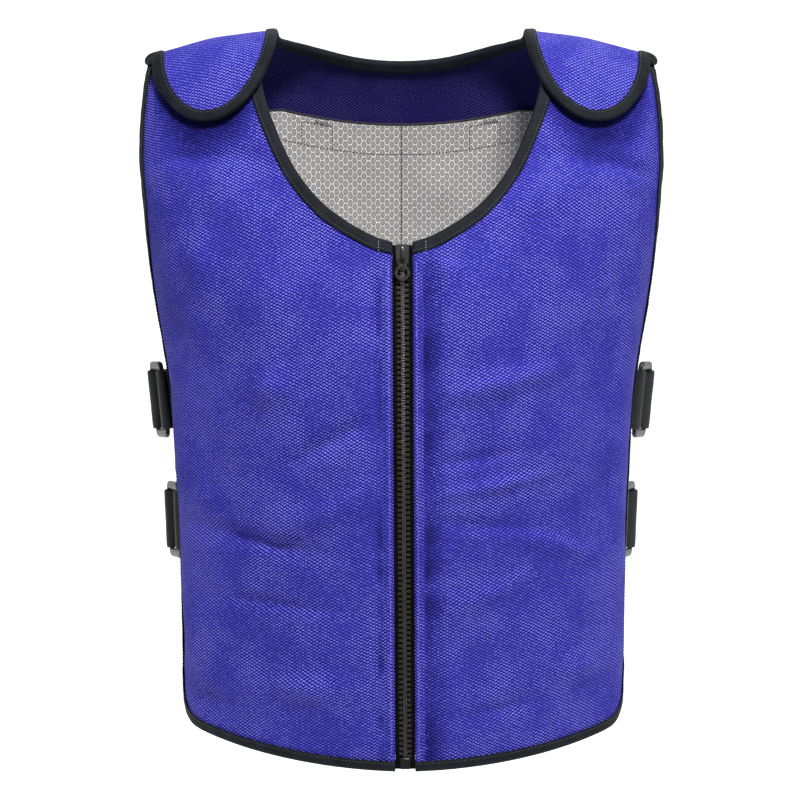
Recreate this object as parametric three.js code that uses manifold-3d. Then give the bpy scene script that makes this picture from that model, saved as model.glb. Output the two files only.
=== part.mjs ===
import * as THREE from "three";
import { mergeVertices } from "three/addons/utils/BufferGeometryUtils.js";
import Module from "manifold-3d";

// A sleeveless cooling vest for work, as it sits on an upright wearer: two padded front panels closed
// by a zip, a padded back that runs over the shoulders and ends in two round flaps on the fronts,
// cloth binding round every open edge, a net lining inside the back, and two webbing straps with
// plastic rings at each side. Millimetres, +Z up, the front looks towards -Y, the wearer's left is +X.
// The origin lies midway between the shoulders, at the height where the vest bears on them.

// The form that the vest takes on its wearer
const bodyLength = 587; // from the shoulder down to the lowest point of the front hem
const shoulderHalf = 216; // half the width across the shoulders
const frontDepth = 119.5; // from the side line forward to the chest
const backDepth = 113; // from the side line back to the shoulder blades
const shoulderDrop = 23; // fall of the shoulder from the neck to the arm
const cornerShare = 0.6; // radius of the turn from chest to side, as a share of the depth there

// The openings
const neckHalf = 103; // half the neck width at the top of the shoulder
const frontNeckHalf = 116; // half the neck width of the front panels, under the flaps
const neckDrop = 167; // from the shoulder down to the top of the zip
const napeReach = 50; // from the top of the shoulder back and down to the nape edge
const backHemRise = 16; // the back hem lies this much higher than the front hem's lowest point
const hemRise = 31; // the front hem climbs this much towards the side
const hemCorner = 49; // radius of the bottom corner at the side

// The padded cloth, its binding and the lining
const wall = 3.5; // the quilted cloth where it is pressed flat at an edge
const padding = 4.5; // what the padding adds in the middle of a panel
const padSlope = 45; // the padding reaches its full height this far in from the flat margin
const shoulderPad = 0.25; // share of the padding on the flaps and over the shoulder
const shoulderPadEnd = 110; // it is full again this far behind the shoulder
const seamGap = 0.4; // clearance between two cloth pieces
const cutGap = 0.3; // clearance where a binding is trimmed to the facets of its panel
const bindingWidth = 10;
const bindingCloth = 0.9;
const bindingSlack = 1; // the flanges stand this much further off at their edges
const seamMargin = 12; // flat margin that the binding grips
const liningCloth = 1.2;
const liningGap = 0.6;
const liningDrop = 51; // from the shoulder down to the top edge of the lining at the sides
const liningDip = 12; // the top edge hangs this much lower in the middle

// The shoulder flaps
const flapReach = 93; // from the top of the shoulder down the front to the tip
const flapRound = 70; // length of the half ellipse that ends a flap
const flapEndAngle = 52; // degrees of the half ellipse that each side edge of the pattern takes up
const flapLift = 4.6; // clearance under a flap for its own binding and the front panel's
const flapInset = 12; // its outer edge lies this far inside the front panel's, along the cloth
const flapShade = 6; // the front panel stays flat this far below the flap's tip
const flapHinge = 14; // the cloth starts to rise over the front panel this far behind the shoulder
const flapEarly = 4; // and is fully raised this far before the end of the front panel
const frontEnd = 20; // the front panel ends this far in front of the top of the shoulder

// The zip
const zipHalf = 8; // half the slot between the two front panels
const zipLean = 3.5; // the zip runs this far to the wearer's left on its way down
const leanReach = 0.75; // the cloth leans less out to here, as a share of shoulderHalf
const sideLean = 0.6; // how much of the lean is left at the side, as a share
const teethHalf = 4.2;
const teethThick = 2.8;
const tapeCloth = 1;
const tapeGap = 0.6; // clearance between the tape and the panel that it is sewn to
const tapeReach = 12; // how far the tape runs on behind a front panel
const sliderLength = 16;
const sliderHalf = 5.5;
const sliderPlate = 1.5;
const sliderGap = 0.7; // clearance between the teeth and the slider's plates
const pullLength = 18.5;
const pullHalf = 6.2;
const pullThick = 1.6;
const boxLength = 9;

// The side straps
const upperStrapDrop = 298; // from the shoulder down to the middle of the upper strap
const lowerStrapDrop = 402;
const webbingWidth = 50;
const webbingCloth = 1.8;
const ringBar = 4;
const ringReach = 26; // size of a ring along the strap
const ringSlack = 4; // the ring's slot is this much longer than the webbing is wide
const ringSwing = 26; // degrees by which the ring turns out from the wearer's side
const upperRingStand = 16; // the upper ring's middle stands this far out from the side
const lowerRingStand = 9;
const ringBack = 30; // and lies this far behind the side line

// Sections of the form, from the front hem up over the shoulder (top) and down the back to its hem.
// down is a share of bodyLength, wide of shoulderHalf, middle and side of the depth in front or behind,
// edge is how far the panel runs past the widest point, as a share of frontDepth, drop of shoulderDrop.
const sections = [
  { down: 1.02, wide: 0.832, middle: -0.92, side: 0, edge: 0.09, drop: 0 },
  { down: 0.915, wide: 0.84, middle: -0.95, side: 0, edge: 0.09, drop: 0 },
  { down: 0.814, wide: 0.844, middle: -0.973, side: 0, edge: 0.09, drop: 0 },
  { down: 0.712, wide: 0.85, middle: -0.99, side: 0, edge: 0.09, drop: 0 },
  { down: 0.61, wide: 0.862, middle: -1, side: 0, edge: 0.09, drop: 0 },
  { down: 0.517, wide: 0.876, middle: -1, side: 0, edge: 0.09, drop: 0 },
  { down: 0.432, wide: 0.904, middle: -0.985, side: -0.01, edge: 0.06, drop: 0 },
  { down: 0.353, wide: 0.935, middle: -0.94, side: -0.05, edge: 0, drop: 0 },
  { down: 0.28, wide: 0.957, middle: -0.868, side: -0.095, edge: -0.07, drop: 0.1 },
  { down: 0.212, wide: 0.976, middle: -0.78, side: -0.125, edge: -0.125, drop: 0.3 },
  { down: 0.149, wide: 0.99, middle: -0.678, side: -0.125, edge: -0.13, drop: 0.6 },
  { down: 0.092, wide: 0.987, middle: -0.56, side: -0.1, edge: -0.11, drop: 0.85 },
  { down: 0.044, wide: 0.978, middle: -0.414, side: -0.067, edge: -0.085, drop: 1 },
  { down: 0.012, wide: 0.965, middle: -0.218, side: -0.008, edge: -0.05, drop: 1 },
  { down: 0, wide: 0.957, middle: 0.044, side: 0.044, edge: 0, drop: 1 },
  { down: 0.006, wide: 0.957, middle: 0.42, side: 0.106, edge: -0.04, drop: 1 },
  { down: 0.025, wide: 0.962, middle: 0.58, side: 0.16, edge: -0.09, drop: 1 },
  { down: 0.064, wide: 0.966, middle: 0.72, side: 0.195, edge: -0.15, drop: 0.85 },
  { down: 0.125, wide: 0.962, middle: 0.83, side: 0.212, edge: -0.2, drop: 0.6 },
  { down: 0.197, wide: 0.95, middle: 0.915, side: 0.221, edge: -0.25, drop: 0.3 },
  { down: 0.275, wide: 0.932, middle: 0.973, side: 0.221, edge: -0.29, drop: 0.1 },
  { down: 0.353, wide: 0.912, middle: 1, side: 0.212, edge: -0.32, drop: 0 },
  { down: 0.432, wide: 0.893, middle: 0.991, side: 0.195, edge: -0.33, drop: 0 },
  { down: 0.517, wide: 0.876, middle: 0.947, side: 0.177, edge: -0.32, drop: 0 },
  { down: 0.61, wide: 0.862, middle: 0.876, side: 0.177, edge: -0.3, drop: 0 },
  { down: 0.712, wide: 0.85, middle: 0.814, side: 0.177, edge: -0.28, drop: 0 },
  { down: 0.814, wide: 0.844, middle: 0.796, side: 0.177, edge: -0.27, drop: 0 },
  { down: 0.915, wide: 0.842, middle: 0.832, side: 0.177, edge: -0.27, drop: 0 },
  { down: 1.02, wide: 0.844, middle: 0.876, side: 0.177, edge: -0.27, drop: 0 },
];
const topSection = 14;

// The front neckline from the zip up: wide is a share of frontNeckHalf, up of neckDrop.
const neckline = [
  { wide: 0.069, up: 0 },
  { wide: 0.19, up: 0.026 },
  { wide: 0.3, up: 0.065 },
  { wide: 0.41, up: 0.112 },
  { wide: 0.525, up: 0.172 },
  { wide: 0.63, up: 0.247 },
  { wide: 0.735, up: 0.345 },
  { wide: 0.82, up: 0.455 },
  { wide: 0.885, up: 0.56 },
  { wide: 0.94, up: 0.66 },
  { wide: 0.975, up: 0.75 },
  { wide: 1, up: 0.86 },
];

// Dents and swells of the front panels: side 1 is the wearer's left. across is a share of shoulderHalf,
// down of bodyLength, wide and tall (half sizes) of shoulderHalf, tilt in degrees, rise of padding.
const folds = [
  { side: 1, across: 0.75, down: 0.17, wide: 0.3, tall: 0.12, tilt: -6, rise: -0.9 },
  { side: 1, across: 0.6, down: 0.3, wide: 0.34, tall: 0.16, tilt: 12, rise: 0.8 },
  { side: 1, across: 0.15, down: 0.42, wide: 0.09, tall: 0.16, tilt: 0, rise: -0.75 },
  { side: 1, across: 0.16, down: 0.56, wide: 0.1, tall: 0.16, tilt: 0, rise: -0.6 },
  { side: 1, across: 0.17, down: 0.74, wide: 0.12, tall: 0.2, tilt: 0, rise: -0.95 },
  { side: 1, across: 0.18, down: 0.95, wide: 0.13, tall: 0.2, tilt: 0, rise: -0.8 },
  { side: 1, across: 0.5, down: 0.6, wide: 0.42, tall: 0.2, tilt: 20, rise: 0.65 },
  { side: 1, across: 0.7, down: 0.78, wide: 0.36, tall: 0.13, tilt: -8, rise: -0.55 },
  { side: -1, across: 0.75, down: 0.17, wide: 0.3, tall: 0.12, tilt: 6, rise: -0.9 },
  { side: -1, across: 0.58, down: 0.32, wide: 0.4, tall: 0.15, tilt: 38, rise: 0.9 },
  { side: -1, across: 0.95, down: 0.43, wide: 0.2, tall: 0.2, tilt: 0, rise: -0.6 },
  { side: -1, across: 0.15, down: 0.5, wide: 0.1, tall: 0.5, tilt: 0, rise: -0.35 },
  { side: -1, across: 0.5, down: 0.6, wide: 0.38, tall: 0.2, tilt: -15, rise: 0.6 },
  { side: -1, across: 0.65, down: 0.76, wide: 0.5, tall: 0.1, tilt: 8, rise: -0.6 },
  { side: -1, across: 0.3, down: 0.86, wide: 0.22, tall: 0.16, tilt: 0, rise: 0.55 },
];

const cloth = (color, roughness) => new THREE.MeshStandardMaterial({ color, roughness, metalness: 0 });
const quiltCloth = cloth(0x3f3bb0, 0.85);
const bindingTape = cloth(0x20262d, 0.75);
const liningNet = cloth(0xb0aca8, 0.8);
const blackWeb = cloth(0x14171c, 0.8);
const zipCloth = cloth(0x131313, 0.9);
const blackResin = cloth(0x26221e, 0.35);

const wasm = await Module();
wasm.setup();

const sum = (a, b, scale = 1) => a.map((v, i) => v + scale * b[i]);
const mix = (a, b, t) => a.map((v, i) => v + t * (b[i] - v));
const unit = (a) => a.map((v) => v / Math.hypot(...a));
const smooth = (t) => THREE.MathUtils.smoothstep(t, 0, 1);

// The sections in millimetres, and their values at any place between two of them.
const sectionSizes = sections.map((row) => {
  const depth = row.middle < 0 ? frontDepth : backDepth;
  return [-row.down * bodyLength, row.wide * shoulderHalf, row.middle * depth, row.side * depth,
    row.edge * frontDepth, row.drop * shoulderDrop];
});
function sectionAt(place) {
  const last = sectionSizes.length - 1;
  const i = Math.min(last - 1, Math.max(0, Math.floor(place)));
  const row = (n) => sectionSizes[Math.min(last, Math.max(0, n))];
  const t = place - i;
  return row(i).map((b, n) => {
    const [a, c, d] = [row(i - 1)[n], row(i + 1)[n], row(i + 2)[n]];
    return b + 0.5 * t * (c - a + t * (2 * a - 5 * b + 4 * c - d + t * (3 * (b - c) + d - a)));
  });
}

// The two arcs of a section: a wide one across the chest or back, and a small one round to the side.
function arcsAt(place) {
  const [height, half, middle, side, edge, drop] = sectionAt(place);
  const depth = Math.max(1e-3, Math.abs(side - middle));
  const turn = cornerShare * depth;
  const radius = ((half - turn) ** 2 + depth ** 2 - turn ** 2) / (2 * (depth - turn));
  const angle = Math.atan2(half - turn, radius - depth);
  const toWidest = radius * angle + turn * (Math.PI / 2 - angle);
  return { height, half, middle, side, edge, drop, depth, turn, radius, angle, toWidest };
}

// A point of the form: across is measured along the cloth from the middle, place is a section number.
function formPoint(across, place) {
  const s = arcsAt(place);
  const wideArc = s.radius * s.angle;
  let x = s.half;
  let back = s.depth + across - s.toWidest;
  if (across < wideArc) {
    x = s.radius * Math.sin(across / s.radius);
    back = 2 * s.radius * Math.sin(across / s.radius / 2) ** 2;
  } else if (across < s.toWidest) {
    const angle = s.angle + (across - wideArc) / s.turn;
    x = s.half - s.turn + s.turn * Math.sin(angle);
    back = s.depth - s.turn * Math.cos(angle);
  }
  const outward = Math.max(0, (x - neckHalf) / (shoulderHalf - neckHalf));
  const y = s.middle + Math.sign(s.side - s.middle) * back;
  return [x, y, s.height - s.drop * outward ** 1.5];
}

// How far a tape measure runs over the shoulder: zero on top, negative in front, positive behind.
const tapeSteps = 40;
const tapeLine = [];
for (let n = 0; n <= (sections.length - 1) * tapeSteps; n++) {
  const point = formPoint((neckHalf + shoulderHalf) / 2, n / tapeSteps);
  const before = tapeLine[n - 1];
  const run = before ? before.run + Math.hypot(...sum(point, before.point, -1)) : 0;
  tapeLine.push({ point, run });
}
const topRun = tapeLine[topSection * tapeSteps].run;
tapeLine.forEach((step) => (step.run -= topRun));
function placeAlong(run) {
  let low = 0;
  let high = tapeLine.length - 1;
  while (high - low > 1) {
    const n = (low + high) >> 1;
    if (tapeLine[n].run < run) low = n;
    else high = n;
  }
  const share = (run - tapeLine[low].run) / (tapeLine[high].run - tapeLine[low].run);
  return (low + share) / tapeSteps;
}
function runAt(place) {
  const n = Math.min(tapeLine.length - 2, Math.floor(place * tapeSteps));
  return tapeLine[n].run + (place * tapeSteps - n) * (tapeLine[n + 1].run - tapeLine[n].run);
}
function runAtDrop(drop, behind) {
  let [low, high] = behind ? [sections.length - 1, topSection] : [0, topSection];
  for (let n = 0; n < 40; n++) {
    const place = (low + high) / 2;
    if (-sectionAt(place)[0] > drop) low = place;
    else high = place;
  }
  return runAt((low + high) / 2);
}
const edgeAt = (run) => arcsAt(placeAlong(run)).toWidest + arcsAt(placeAlong(run)).edge;
function acrossAtWidth(width, run) {
  const { radius } = arcsAt(placeAlong(run));
  return radius * Math.asin(Math.min(1, width / radius));
}

// The outward direction of the form, and a point of the vest at some height above it.
function outwardAt(across, run) {
  const place = placeAlong(run);
  const step = 0.02;
  const [left, right] = [Math.max(0, across - 1), across + 1].map((a) => formPoint(a, place));
  const [low, high] = [-step, step].map((s) => formPoint(across, place + s));
  const [u, v] = [sum(right, left, -1), sum(high, low, -1)].map((d) => new THREE.Vector3(...d));
  return u.cross(v).normalize().toArray();
}
function vestPoint(side, across, run, height) {
  const place = placeAlong(run);
  const [x, y, z] = sum(formPoint(across, place), outwardAt(across, run), height);
  const share = 1 - (1 - sideLean) * smooth(x / (leanReach * shoulderHalf));
  const lean = run < 0 ? (zipLean * share * -z) / bodyLength : 0;
  return [side * x + lean, y, z];
}

// Pattern pieces are drawn flat, as rows of points (across, run) that go out from the middle of the vest,
// and are then laid on the form.
const steps = (from, to, count) => {
  return Array.from({ length: count + 1 }, (_, n) => from + ((to - from) * n) / count);
};
const hemRun = runAtDrop(bodyLength, false);
const backHemRun = runAtDrop(bodyLength - backHemRise, true);
const zipTopRun = runAtDrop(neckDrop, false);

function columnsOf(inner, outer, count) {
  return [inner, ...steps(inner + seamMargin, outer - seamMargin, count), outer];
}

// The front panel: its hem climbs to the side and turns round a corner, its top ends under the flap.
function frontRows() {
  const zipRuns = [hemRun, ...steps(hemRun + seamMargin, zipTopRun, 8)];
  const zipPart = zipRuns.map((run) => ({ run, inner: zipHalf }));
  const neckPart = neckline.slice(1).map(({ wide, up }) => {
    const run = runAtDrop(neckDrop * (1 - up), false);
    return { run, inner: acrossAtWidth(wide * frontNeckHalf, run) };
  });
  const topPart = [-frontEnd - seamMargin, -frontEnd].map((run) => {
    return { run, inner: acrossAtWidth(frontNeckHalf, run) };
  });
  return [...zipPart, ...neckPart, ...topPart].map(({ run, inner }) => {
    const up = run - hemRun;
    const turned = hemCorner * (1 - Math.SQRT1_2);
    const height = Math.max(turned, Math.min(hemCorner, up));
    const inset = hemCorner - Math.sqrt(hemCorner ** 2 - (hemCorner - height) ** 2);
    const outer = edgeAt(run);
    return columnsOf(inner, outer - inset, 8).map((across) => {
      const along = Math.min(1, across / outer);
      const past = Math.min(hemCorner * Math.SQRT1_2, Math.max(0, across - outer + hemCorner));
      const corner = hemCorner - Math.sqrt(hemCorner ** 2 - past ** 2);
      const fade = 1 - smooth(up / (3 * hemCorner));
      const lift = hemRise * along ** 1.7 * (1 - smooth(up / (zipTopRun - hemRun)));
      return [across, run + lift + corner * (up < hemCorner ? 1 - up / hemCorner : 0) * fade];
    });
  });
}

// The back panel, one half: from the hem up to the nape, round the neck, over the shoulder to the flap.
// Its rows dip in the middle where the top edge of the lining is sewn to it.
const liningRun = runAtDrop(liningDrop, true);
const liningSag = runAtDrop(liningDrop + liningDip, true) - liningRun;
function backRows() {
  const easedRuns = steps(1, 0, 9).map((t) => liningRun + (backHemRun - seamMargin - liningRun) * t ** 1.4);
  const uprightRuns = [backHemRun, ...easedRuns, (liningRun + napeReach) / 2, napeReach];
  const upright = uprightRuns.map((run) => ({ run, inner: 0 }));
  const quarterTurn = Math.PI / 2;
  const round = steps(quarterTurn, 0, 7).slice(1).map((angle) => {
    return { run: napeReach * Math.sin(angle), inner: neckHalf * Math.cos(angle) };
  });
  const flapRoot = flapRound - flapReach;
  const ahead = steps(0, flapRoot, 4).slice(1).map((run) => ({ run, inner: neckHalf }));
  const rows = [...upright, ...round, ...ahead].map(({ run, inner }) => {
    const sag = liningSag * Math.max(0, 1 - Math.abs(run - liningRun) / (liningRun - napeReach));
    const outer = edgeAt(run) - flapInset * smooth(-run / (flapReach - flapRound));
    return columnsOf(inner, outer, 7).map((across) => {
      return [across, run + sag * (1 - Math.min(1, across / neckHalf) ** 2)];
    });
  });
  const root = rows.at(-1);
  const middle = (root[0][0] + root.at(-1)[0]) / 2;
  const half = root.at(-1)[0] - middle;
  const lastAngle = THREE.MathUtils.degToRad(flapEndAngle);
  steps(0, 1, 5).slice(1).forEach((share) => {
    const angle = share * lastAngle;
    rows.push(root.map(([across]) => {
      const out = (Math.cos(angle) * (across - middle)) / half;
      const bow = Math.sqrt(1 - out ** 2);
      return [middle + half * out, flapRoot - flapRound * (Math.sin(angle) * (1 - share) + bow * share)];
    }));
  });
  return rows;
}

// The way round a grid of rows: its first column up, the last row out, the last column down, the hem back.
function outlineOf(rows) {
  const first = rows.map((row) => row[0]);
  const last = rows.map((row) => row.at(-1));
  return { first, top: rows.at(-1), last: last.reverse(), hem: [...rows[0]].reverse() };
}
function distanceTo(line, [a, r]) {
  const gaps = line.slice(1).map((end, n) => {
    const way = sum(end, line[n], -1);
    const from = [a - line[n][0], r - line[n][1]];
    const length = way[0] ** 2 + way[1] ** 2;
    const t = length > 0 ? Math.min(1, Math.max(0, (from[0] * way[0] + from[1] * way[1]) / length)) : 0;
    return Math.hypot(from[0] - t * way[0], from[1] - t * way[1]);
  });
  return Math.min(...gaps);
}

// Heights above the form. The back panel rises over the front panel's end, and both swell with padding.
const riseRuns = backRows().slice(-13, -3).map((row) => row[0][1]);
const flapHeight = (run) => {
  const rise = (r) => (wall + flapLift) * smooth((flapHinge - r) / (flapHinge + frontEnd - flapEarly));
  const n = Math.max(1, riseRuns.findIndex((r) => r <= run));
  const [before, after] = [riseRuns[n - 1], riseRuns[n]];
  const share = Math.min(1, Math.max(0, (run - before) / (after - before)));
  return run < riseRuns.at(-1) ? rise(run) : rise(before) + share * (rise(after) - rise(before));
};
const swell = (distance) => smooth((distance - seamMargin) / padSlope);
function foldAt(side, across, run) {
  const down = -sectionAt(placeAlong(run))[0];
  const rises = folds.filter((fold) => fold.side === side).map((fold) => {
    const turn = THREE.MathUtils.degToRad(fold.tilt);
    const a = across - fold.across * shoulderHalf;
    const d = fold.down * bodyLength - down;
    const u = (a * Math.cos(turn) + d * Math.sin(turn)) / (fold.wide * shoulderHalf);
    const v = (d * Math.cos(turn) - a * Math.sin(turn)) / (fold.tall * shoulderHalf);
    return fold.rise * Math.exp(-2 * (u * u + v * v));
  });
  return rises.reduce((total, rise) => total + rise, 0);
}
function frontHeight(side, outline) {
  const edge = [...outline.first, ...outline.top, ...outline.last, ...outline.hem];
  return (across, run) => {
    const belowFlap = smooth((-run - flapReach - flapShade) / padSlope);
    const full = swell(distanceTo(edge, [across, run])) * belowFlap;
    return wall + padding * full * (1 + foldAt(side, across, run));
  };
}
function backHeight(outline) {
  const neck = outline.first.filter(([across]) => across > 0);
  const edge = [...neck, ...outline.top, ...outline.last, ...outline.hem];
  return (across, run) => {
    const share = shoulderPad + (1 - shoulderPad) * smooth(run / shoulderPadEnd);
    return flapHeight(run) + wall + padding * share * swell(distanceTo(edge, [across, run]));
  };
}

// A closed solid from points and triangles, turned the right way out.
function solid(points, triangles) {
  const at = (n) => new THREE.Vector3(...points[n]);
  const volume = triangles.reduce((total, [a, b, c]) => total + at(a).dot(at(b).cross(at(c))), 0);
  const index = triangles.flatMap(([a, b, c]) => (volume > 0 ? [a, b, c] : [a, c, b]));
  const geometry = new THREE.BufferGeometry();
  geometry.setAttribute("position", new THREE.Float32BufferAttribute(points.flat(), 3));
  geometry.setIndex(index);
  return geometry;
}

// Cloth laid on the form between two heights: patches are { side, rows }, and what they share is joined.
function laidCloth(patches, lower, upper) {
  const names = new Map();
  const flat = [];
  const faces = [];
  const corner = (side, [across, run]) => {
    const name = `${(side * across + 0).toFixed(3)} ${run.toFixed(3)}`;
    if (!names.has(name)) {
      names.set(name, flat.length);
      flat.push([side, across, run]);
    }
    return names.get(name);
  };
  patches.forEach(({ side, rows }) => {
    rows.slice(1).forEach((row, j) => {
      row.slice(1).forEach((_, i) => {
        const [a, b] = [rows[j][i], rows[j][i + 1]].map((p) => corner(side, p));
        const [d, c] = [row[i], row[i + 1]].map((p) => corner(side, p));
        faces.push(...[[a, b, c], [a, c, d]].map((face) => (side > 0 ? face : face.toReversed())));
      });
    });
  });
  const edges = new Set(faces.flatMap(([a, b, c]) => [`${a} ${b}`, `${b} ${c}`, `${c} ${a}`]));
  const ends = [...edges].map((edge) => edge.split(" ").map(Number));
  const rim = ends.filter(([a, b]) => !edges.has(`${b} ${a}`));
  const count = flat.length;
  const points = [upper, lower].flatMap((height) => {
    return flat.map(([side, across, run]) => vestPoint(side, across, run, height(across, run)));
  });
  const under = faces.map(([a, b, c]) => [c + count, b + count, a + count]);
  const walls = rim.flatMap(([a, b]) => [[b, a, a + count], [b, a + count, b + count]]);
  return solid(points, [...faces, ...under, ...walls]);
}

// Directions square to a flat line, on its right, lengthened at a corner so that an offset line stays even.
function squareTo(line, closed = false) {
  return line.map((point, n) => {
    const before = closed ? line.at(n - 1) : line[Math.max(0, n - 1)];
    const after = closed ? line[(n + 1) % line.length] : line[Math.min(line.length - 1, n + 1)];
    const ways = [sum(point, before, -1), sum(after, point, -1)].filter((way) => Math.hypot(...way) > 0);
    const normals = ways.map(unit).map(([a, r]) => [r, -a]);
    const normal = unit(normals.reduce((total, way) => sum(total, way)));
    const stretch = 1 / Math.max(0.5, normal[0] * normals[0][0] + normal[1] * normals[0][1]);
    return normal.map((v) => v * stretch);
  });
}

// Binding cloth folded round an edge, which is a line of pattern points. inward is 1 where the panel lies
// to the right of the line and -1 to its left, and base gives the height of the panel's inner face.
function foldedBinding(side, line, inward, base, closed) {
  const inwards = squareTo(line, closed).map((way) => way.map((v) => v * inward));
  const [outer, inner] = [wall + seamGap, -seamGap];
  const tip = bindingSlack / 3;
  const section = [
    [bindingWidth, outer + tip], [bindingWidth, outer + tip + bindingCloth], [-seamGap, outer + bindingCloth],
    [-seamGap - bindingCloth, inner - bindingCloth], [bindingWidth, inner - bindingSlack - bindingCloth],
    [bindingWidth, inner - bindingSlack], [-seamGap, inner], [-seamGap, outer],
  ];
  const rings = line.map((point, n) => {
    return section.map(([inset, height]) => {
      const [a, r] = sum(point, inwards[n], inset);
      return vestPoint(a < 0 ? -side : side, Math.abs(a), r, base(r) + height);
    });
  });
  return swept(rings, closed);
}
function swept(rings, closed) {
  const size = rings[0].length;
  const triangles = [];
  const spans = closed ? rings.length : rings.length - 1;
  for (let n = 0; n < spans; n++) {
    const [here, next] = [n * size, ((n + 1) % rings.length) * size];
    for (let k = 0; k < size; k++) {
      const m = (k + 1) % size;
      triangles.push([here + k, here + m, next + m], [here + k, next + m, next + k]);
    }
  }
  if (!closed) {
    const cap = [[0, 1, 2], [0, 2, 7], [2, 3, 6], [2, 6, 7], [3, 4, 5], [3, 5, 6]];
    const end = (rings.length - 1) * size;
    triangles.push(...cap.map((face) => face.toReversed()), ...cap.map((face) => face.map((k) => k + end)));
  }
  return solid(rings.flat(), triangles);
}

// Joining and cutting
function asSolid(geometry) {
  const bare = geometry.clone();
  bare.deleteAttribute("normal");
  bare.deleteAttribute("uv");
  const merged = mergeVertices(bare, 1e-4);
  const vertProperties = new Float32Array(merged.getAttribute("position").array);
  const triVerts = new Uint32Array(merged.getIndex().array);
  return new wasm.Manifold(new wasm.Mesh({ numProp: 3, vertProperties, triVerts }));
}
function asGeometry(body) {
  const { vertProperties, triVerts } = body.getMesh();
  const geometry = new THREE.BufferGeometry();
  geometry.setAttribute("position", new THREE.BufferAttribute(vertProperties, 3));
  geometry.setIndex(new THREE.BufferAttribute(triVerts, 1));
  return geometry;
}
function boxBetween(low, high) {
  const box = new THREE.BoxGeometry(...sum(high, low, -1));
  return box.translate(...mix(low, high, 0.5));
}

const vest = new THREE.Group();
function add(name, geometry, material, group = vest) {
  const piece = new THREE.Mesh(geometry, material);
  piece.name = name;
  group.add(piece);
  return piece;
}
const sides = [{ side: 1, hand: "left" }, { side: -1, hand: "right" }];
const flatFace = (height) => () => height;

// A panel, and its binding cut clear of the panel by a cut gap on both faces
function fullerBy(gap, patches, lower, upper) {
  return asSolid(laidCloth(patches, (a, r) => lower(a, r) - gap, (a, r) => upper(a, r) + gap));
}
const cutClear = (binding, ...panels) => {
  return asGeometry(panels.reduce((left, panel) => left.subtract(panel), asSolid(binding)));
};

// Front panels and their binding
const front = frontRows();
const frontOutline = outlineOf(front);
const zipTopRow = 9;
sides.forEach(({ side, hand }) => {
  const cut = [[{ side, rows: front }], flatFace(0), frontHeight(side, frontOutline)];
  add(`front_panel_${hand}`, laidCloth(...cut), quiltCloth);
  const fuller = fullerBy(cutGap, ...cut);
  const neckEdge = frontOutline.first.slice(zipTopRow);
  const neckBinding = foldedBinding(side, neckEdge, 1, flatFace(0), false);
  add(`neck_binding_${hand}`, cutClear(neckBinding, fuller), bindingTape);
  const sideEdge = [...frontOutline.last, ...frontOutline.hem.slice(1)];
  const sideBinding = foldedBinding(side, sideEdge, 1, flatFace(0), false);
  add(`side_binding_${hand}`, cutClear(sideBinding, fuller), bindingTape);
});

// Back panel with both flaps, its binding and the lining inside it
const back = backRows();
const liningTopRow = 10;
const backOutline = outlineOf(back);
const bothBacks = sides.map(({ side }) => ({ side, rows: back }));
const backCut = [bothBacks, (across, run) => flapHeight(run), backHeight(backOutline)];
const backPanel = laidCloth(...backCut);
add("back_panel", backPanel, quiltCloth);
const mirrored = (line) => line.map(([across, run]) => [-across, run]).reverse();
const neckSide = backOutline.first.filter(([across]) => across > 0);
const napePoint = [0, napeReach];
const flapAndHem = [backOutline.top, backOutline.last, backOutline.hem].flatMap((line) => line.slice(1));
const halfEdge = [...neckSide, ...flapAndHem];
const wholeEdge = [napePoint, ...halfEdge, ...mirrored(halfEdge.slice(0, -1))];
const backBinding = foldedBinding(1, wholeEdge, -1, flapHeight, true);
const backFuller = fullerBy(cutGap, ...backCut);
add("back_binding", cutClear(backBinding, backFuller, asSolid(backPanel)), bindingTape);

const lining = back.slice(1, liningTopRow + 1).map((row) => row.slice(0, -1));
const liningPatches = sides.map(({ side }) => ({ side, rows: lining }));
const liningLower = flatFace(-liningGap - liningCloth);
add("back_lining", laidCloth(liningPatches, liningLower, flatFace(-liningGap)), liningNet);

// Zip: two tapes sewn behind the panels, the closed row of teeth, and the box at the foot
const tapeEdge = teethHalf + seamGap;
const slotEdge = zipHalf - seamGap;
const zipRuns = front.slice(0, zipTopRow + 1).map((row) => row[0][1]);
const bandRows = (runs, columns) => runs.map((run) => columns.map((across) => [across, run]));
const sewnRuns = [zipRuns[1], ...zipRuns.slice(2, -1), zipTopRun - seamMargin];
sides.forEach(({ side, hand }) => {
  const shown = [...sewnRuns.slice(0, -1), sewnRuns.at(-1), zipTopRun - seamGap];
  const patches = [
    { side, rows: bandRows([zipRuns[0], ...shown], [tapeEdge, slotEdge]) },
    { side, rows: bandRows(sewnRuns, [slotEdge, zipHalf + tapeReach]) },
  ];
  const tape = laidCloth(patches, flatFace(-tapeGap - tapeCloth), flatFace(-tapeGap));
  add(`zip_tape_${hand}`, tape, zipCloth);
});
const zipMiddle = -tapeGap - tapeCloth / 2;
const sliderRun = zipTopRun - sliderLength / 2;
const postLength = sliderLength / 4;
const teethTop = sliderRun + sliderLength / 2 - postLength - seamGap;
const teethRuns = [hemRun + boxLength + seamGap, ...zipRuns.slice(2, -1), teethTop];
const teethPatches = sides.map(({ side }) => ({ side, rows: bandRows(teethRuns, [0, teethHalf]) }));
const teethFaces = [-1, 1].map((way) => flatFace(zipMiddle + (way * teethThick) / 2));
add("zip_teeth", laidCloth(teethPatches, ...teethFaces), blackResin);

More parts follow.
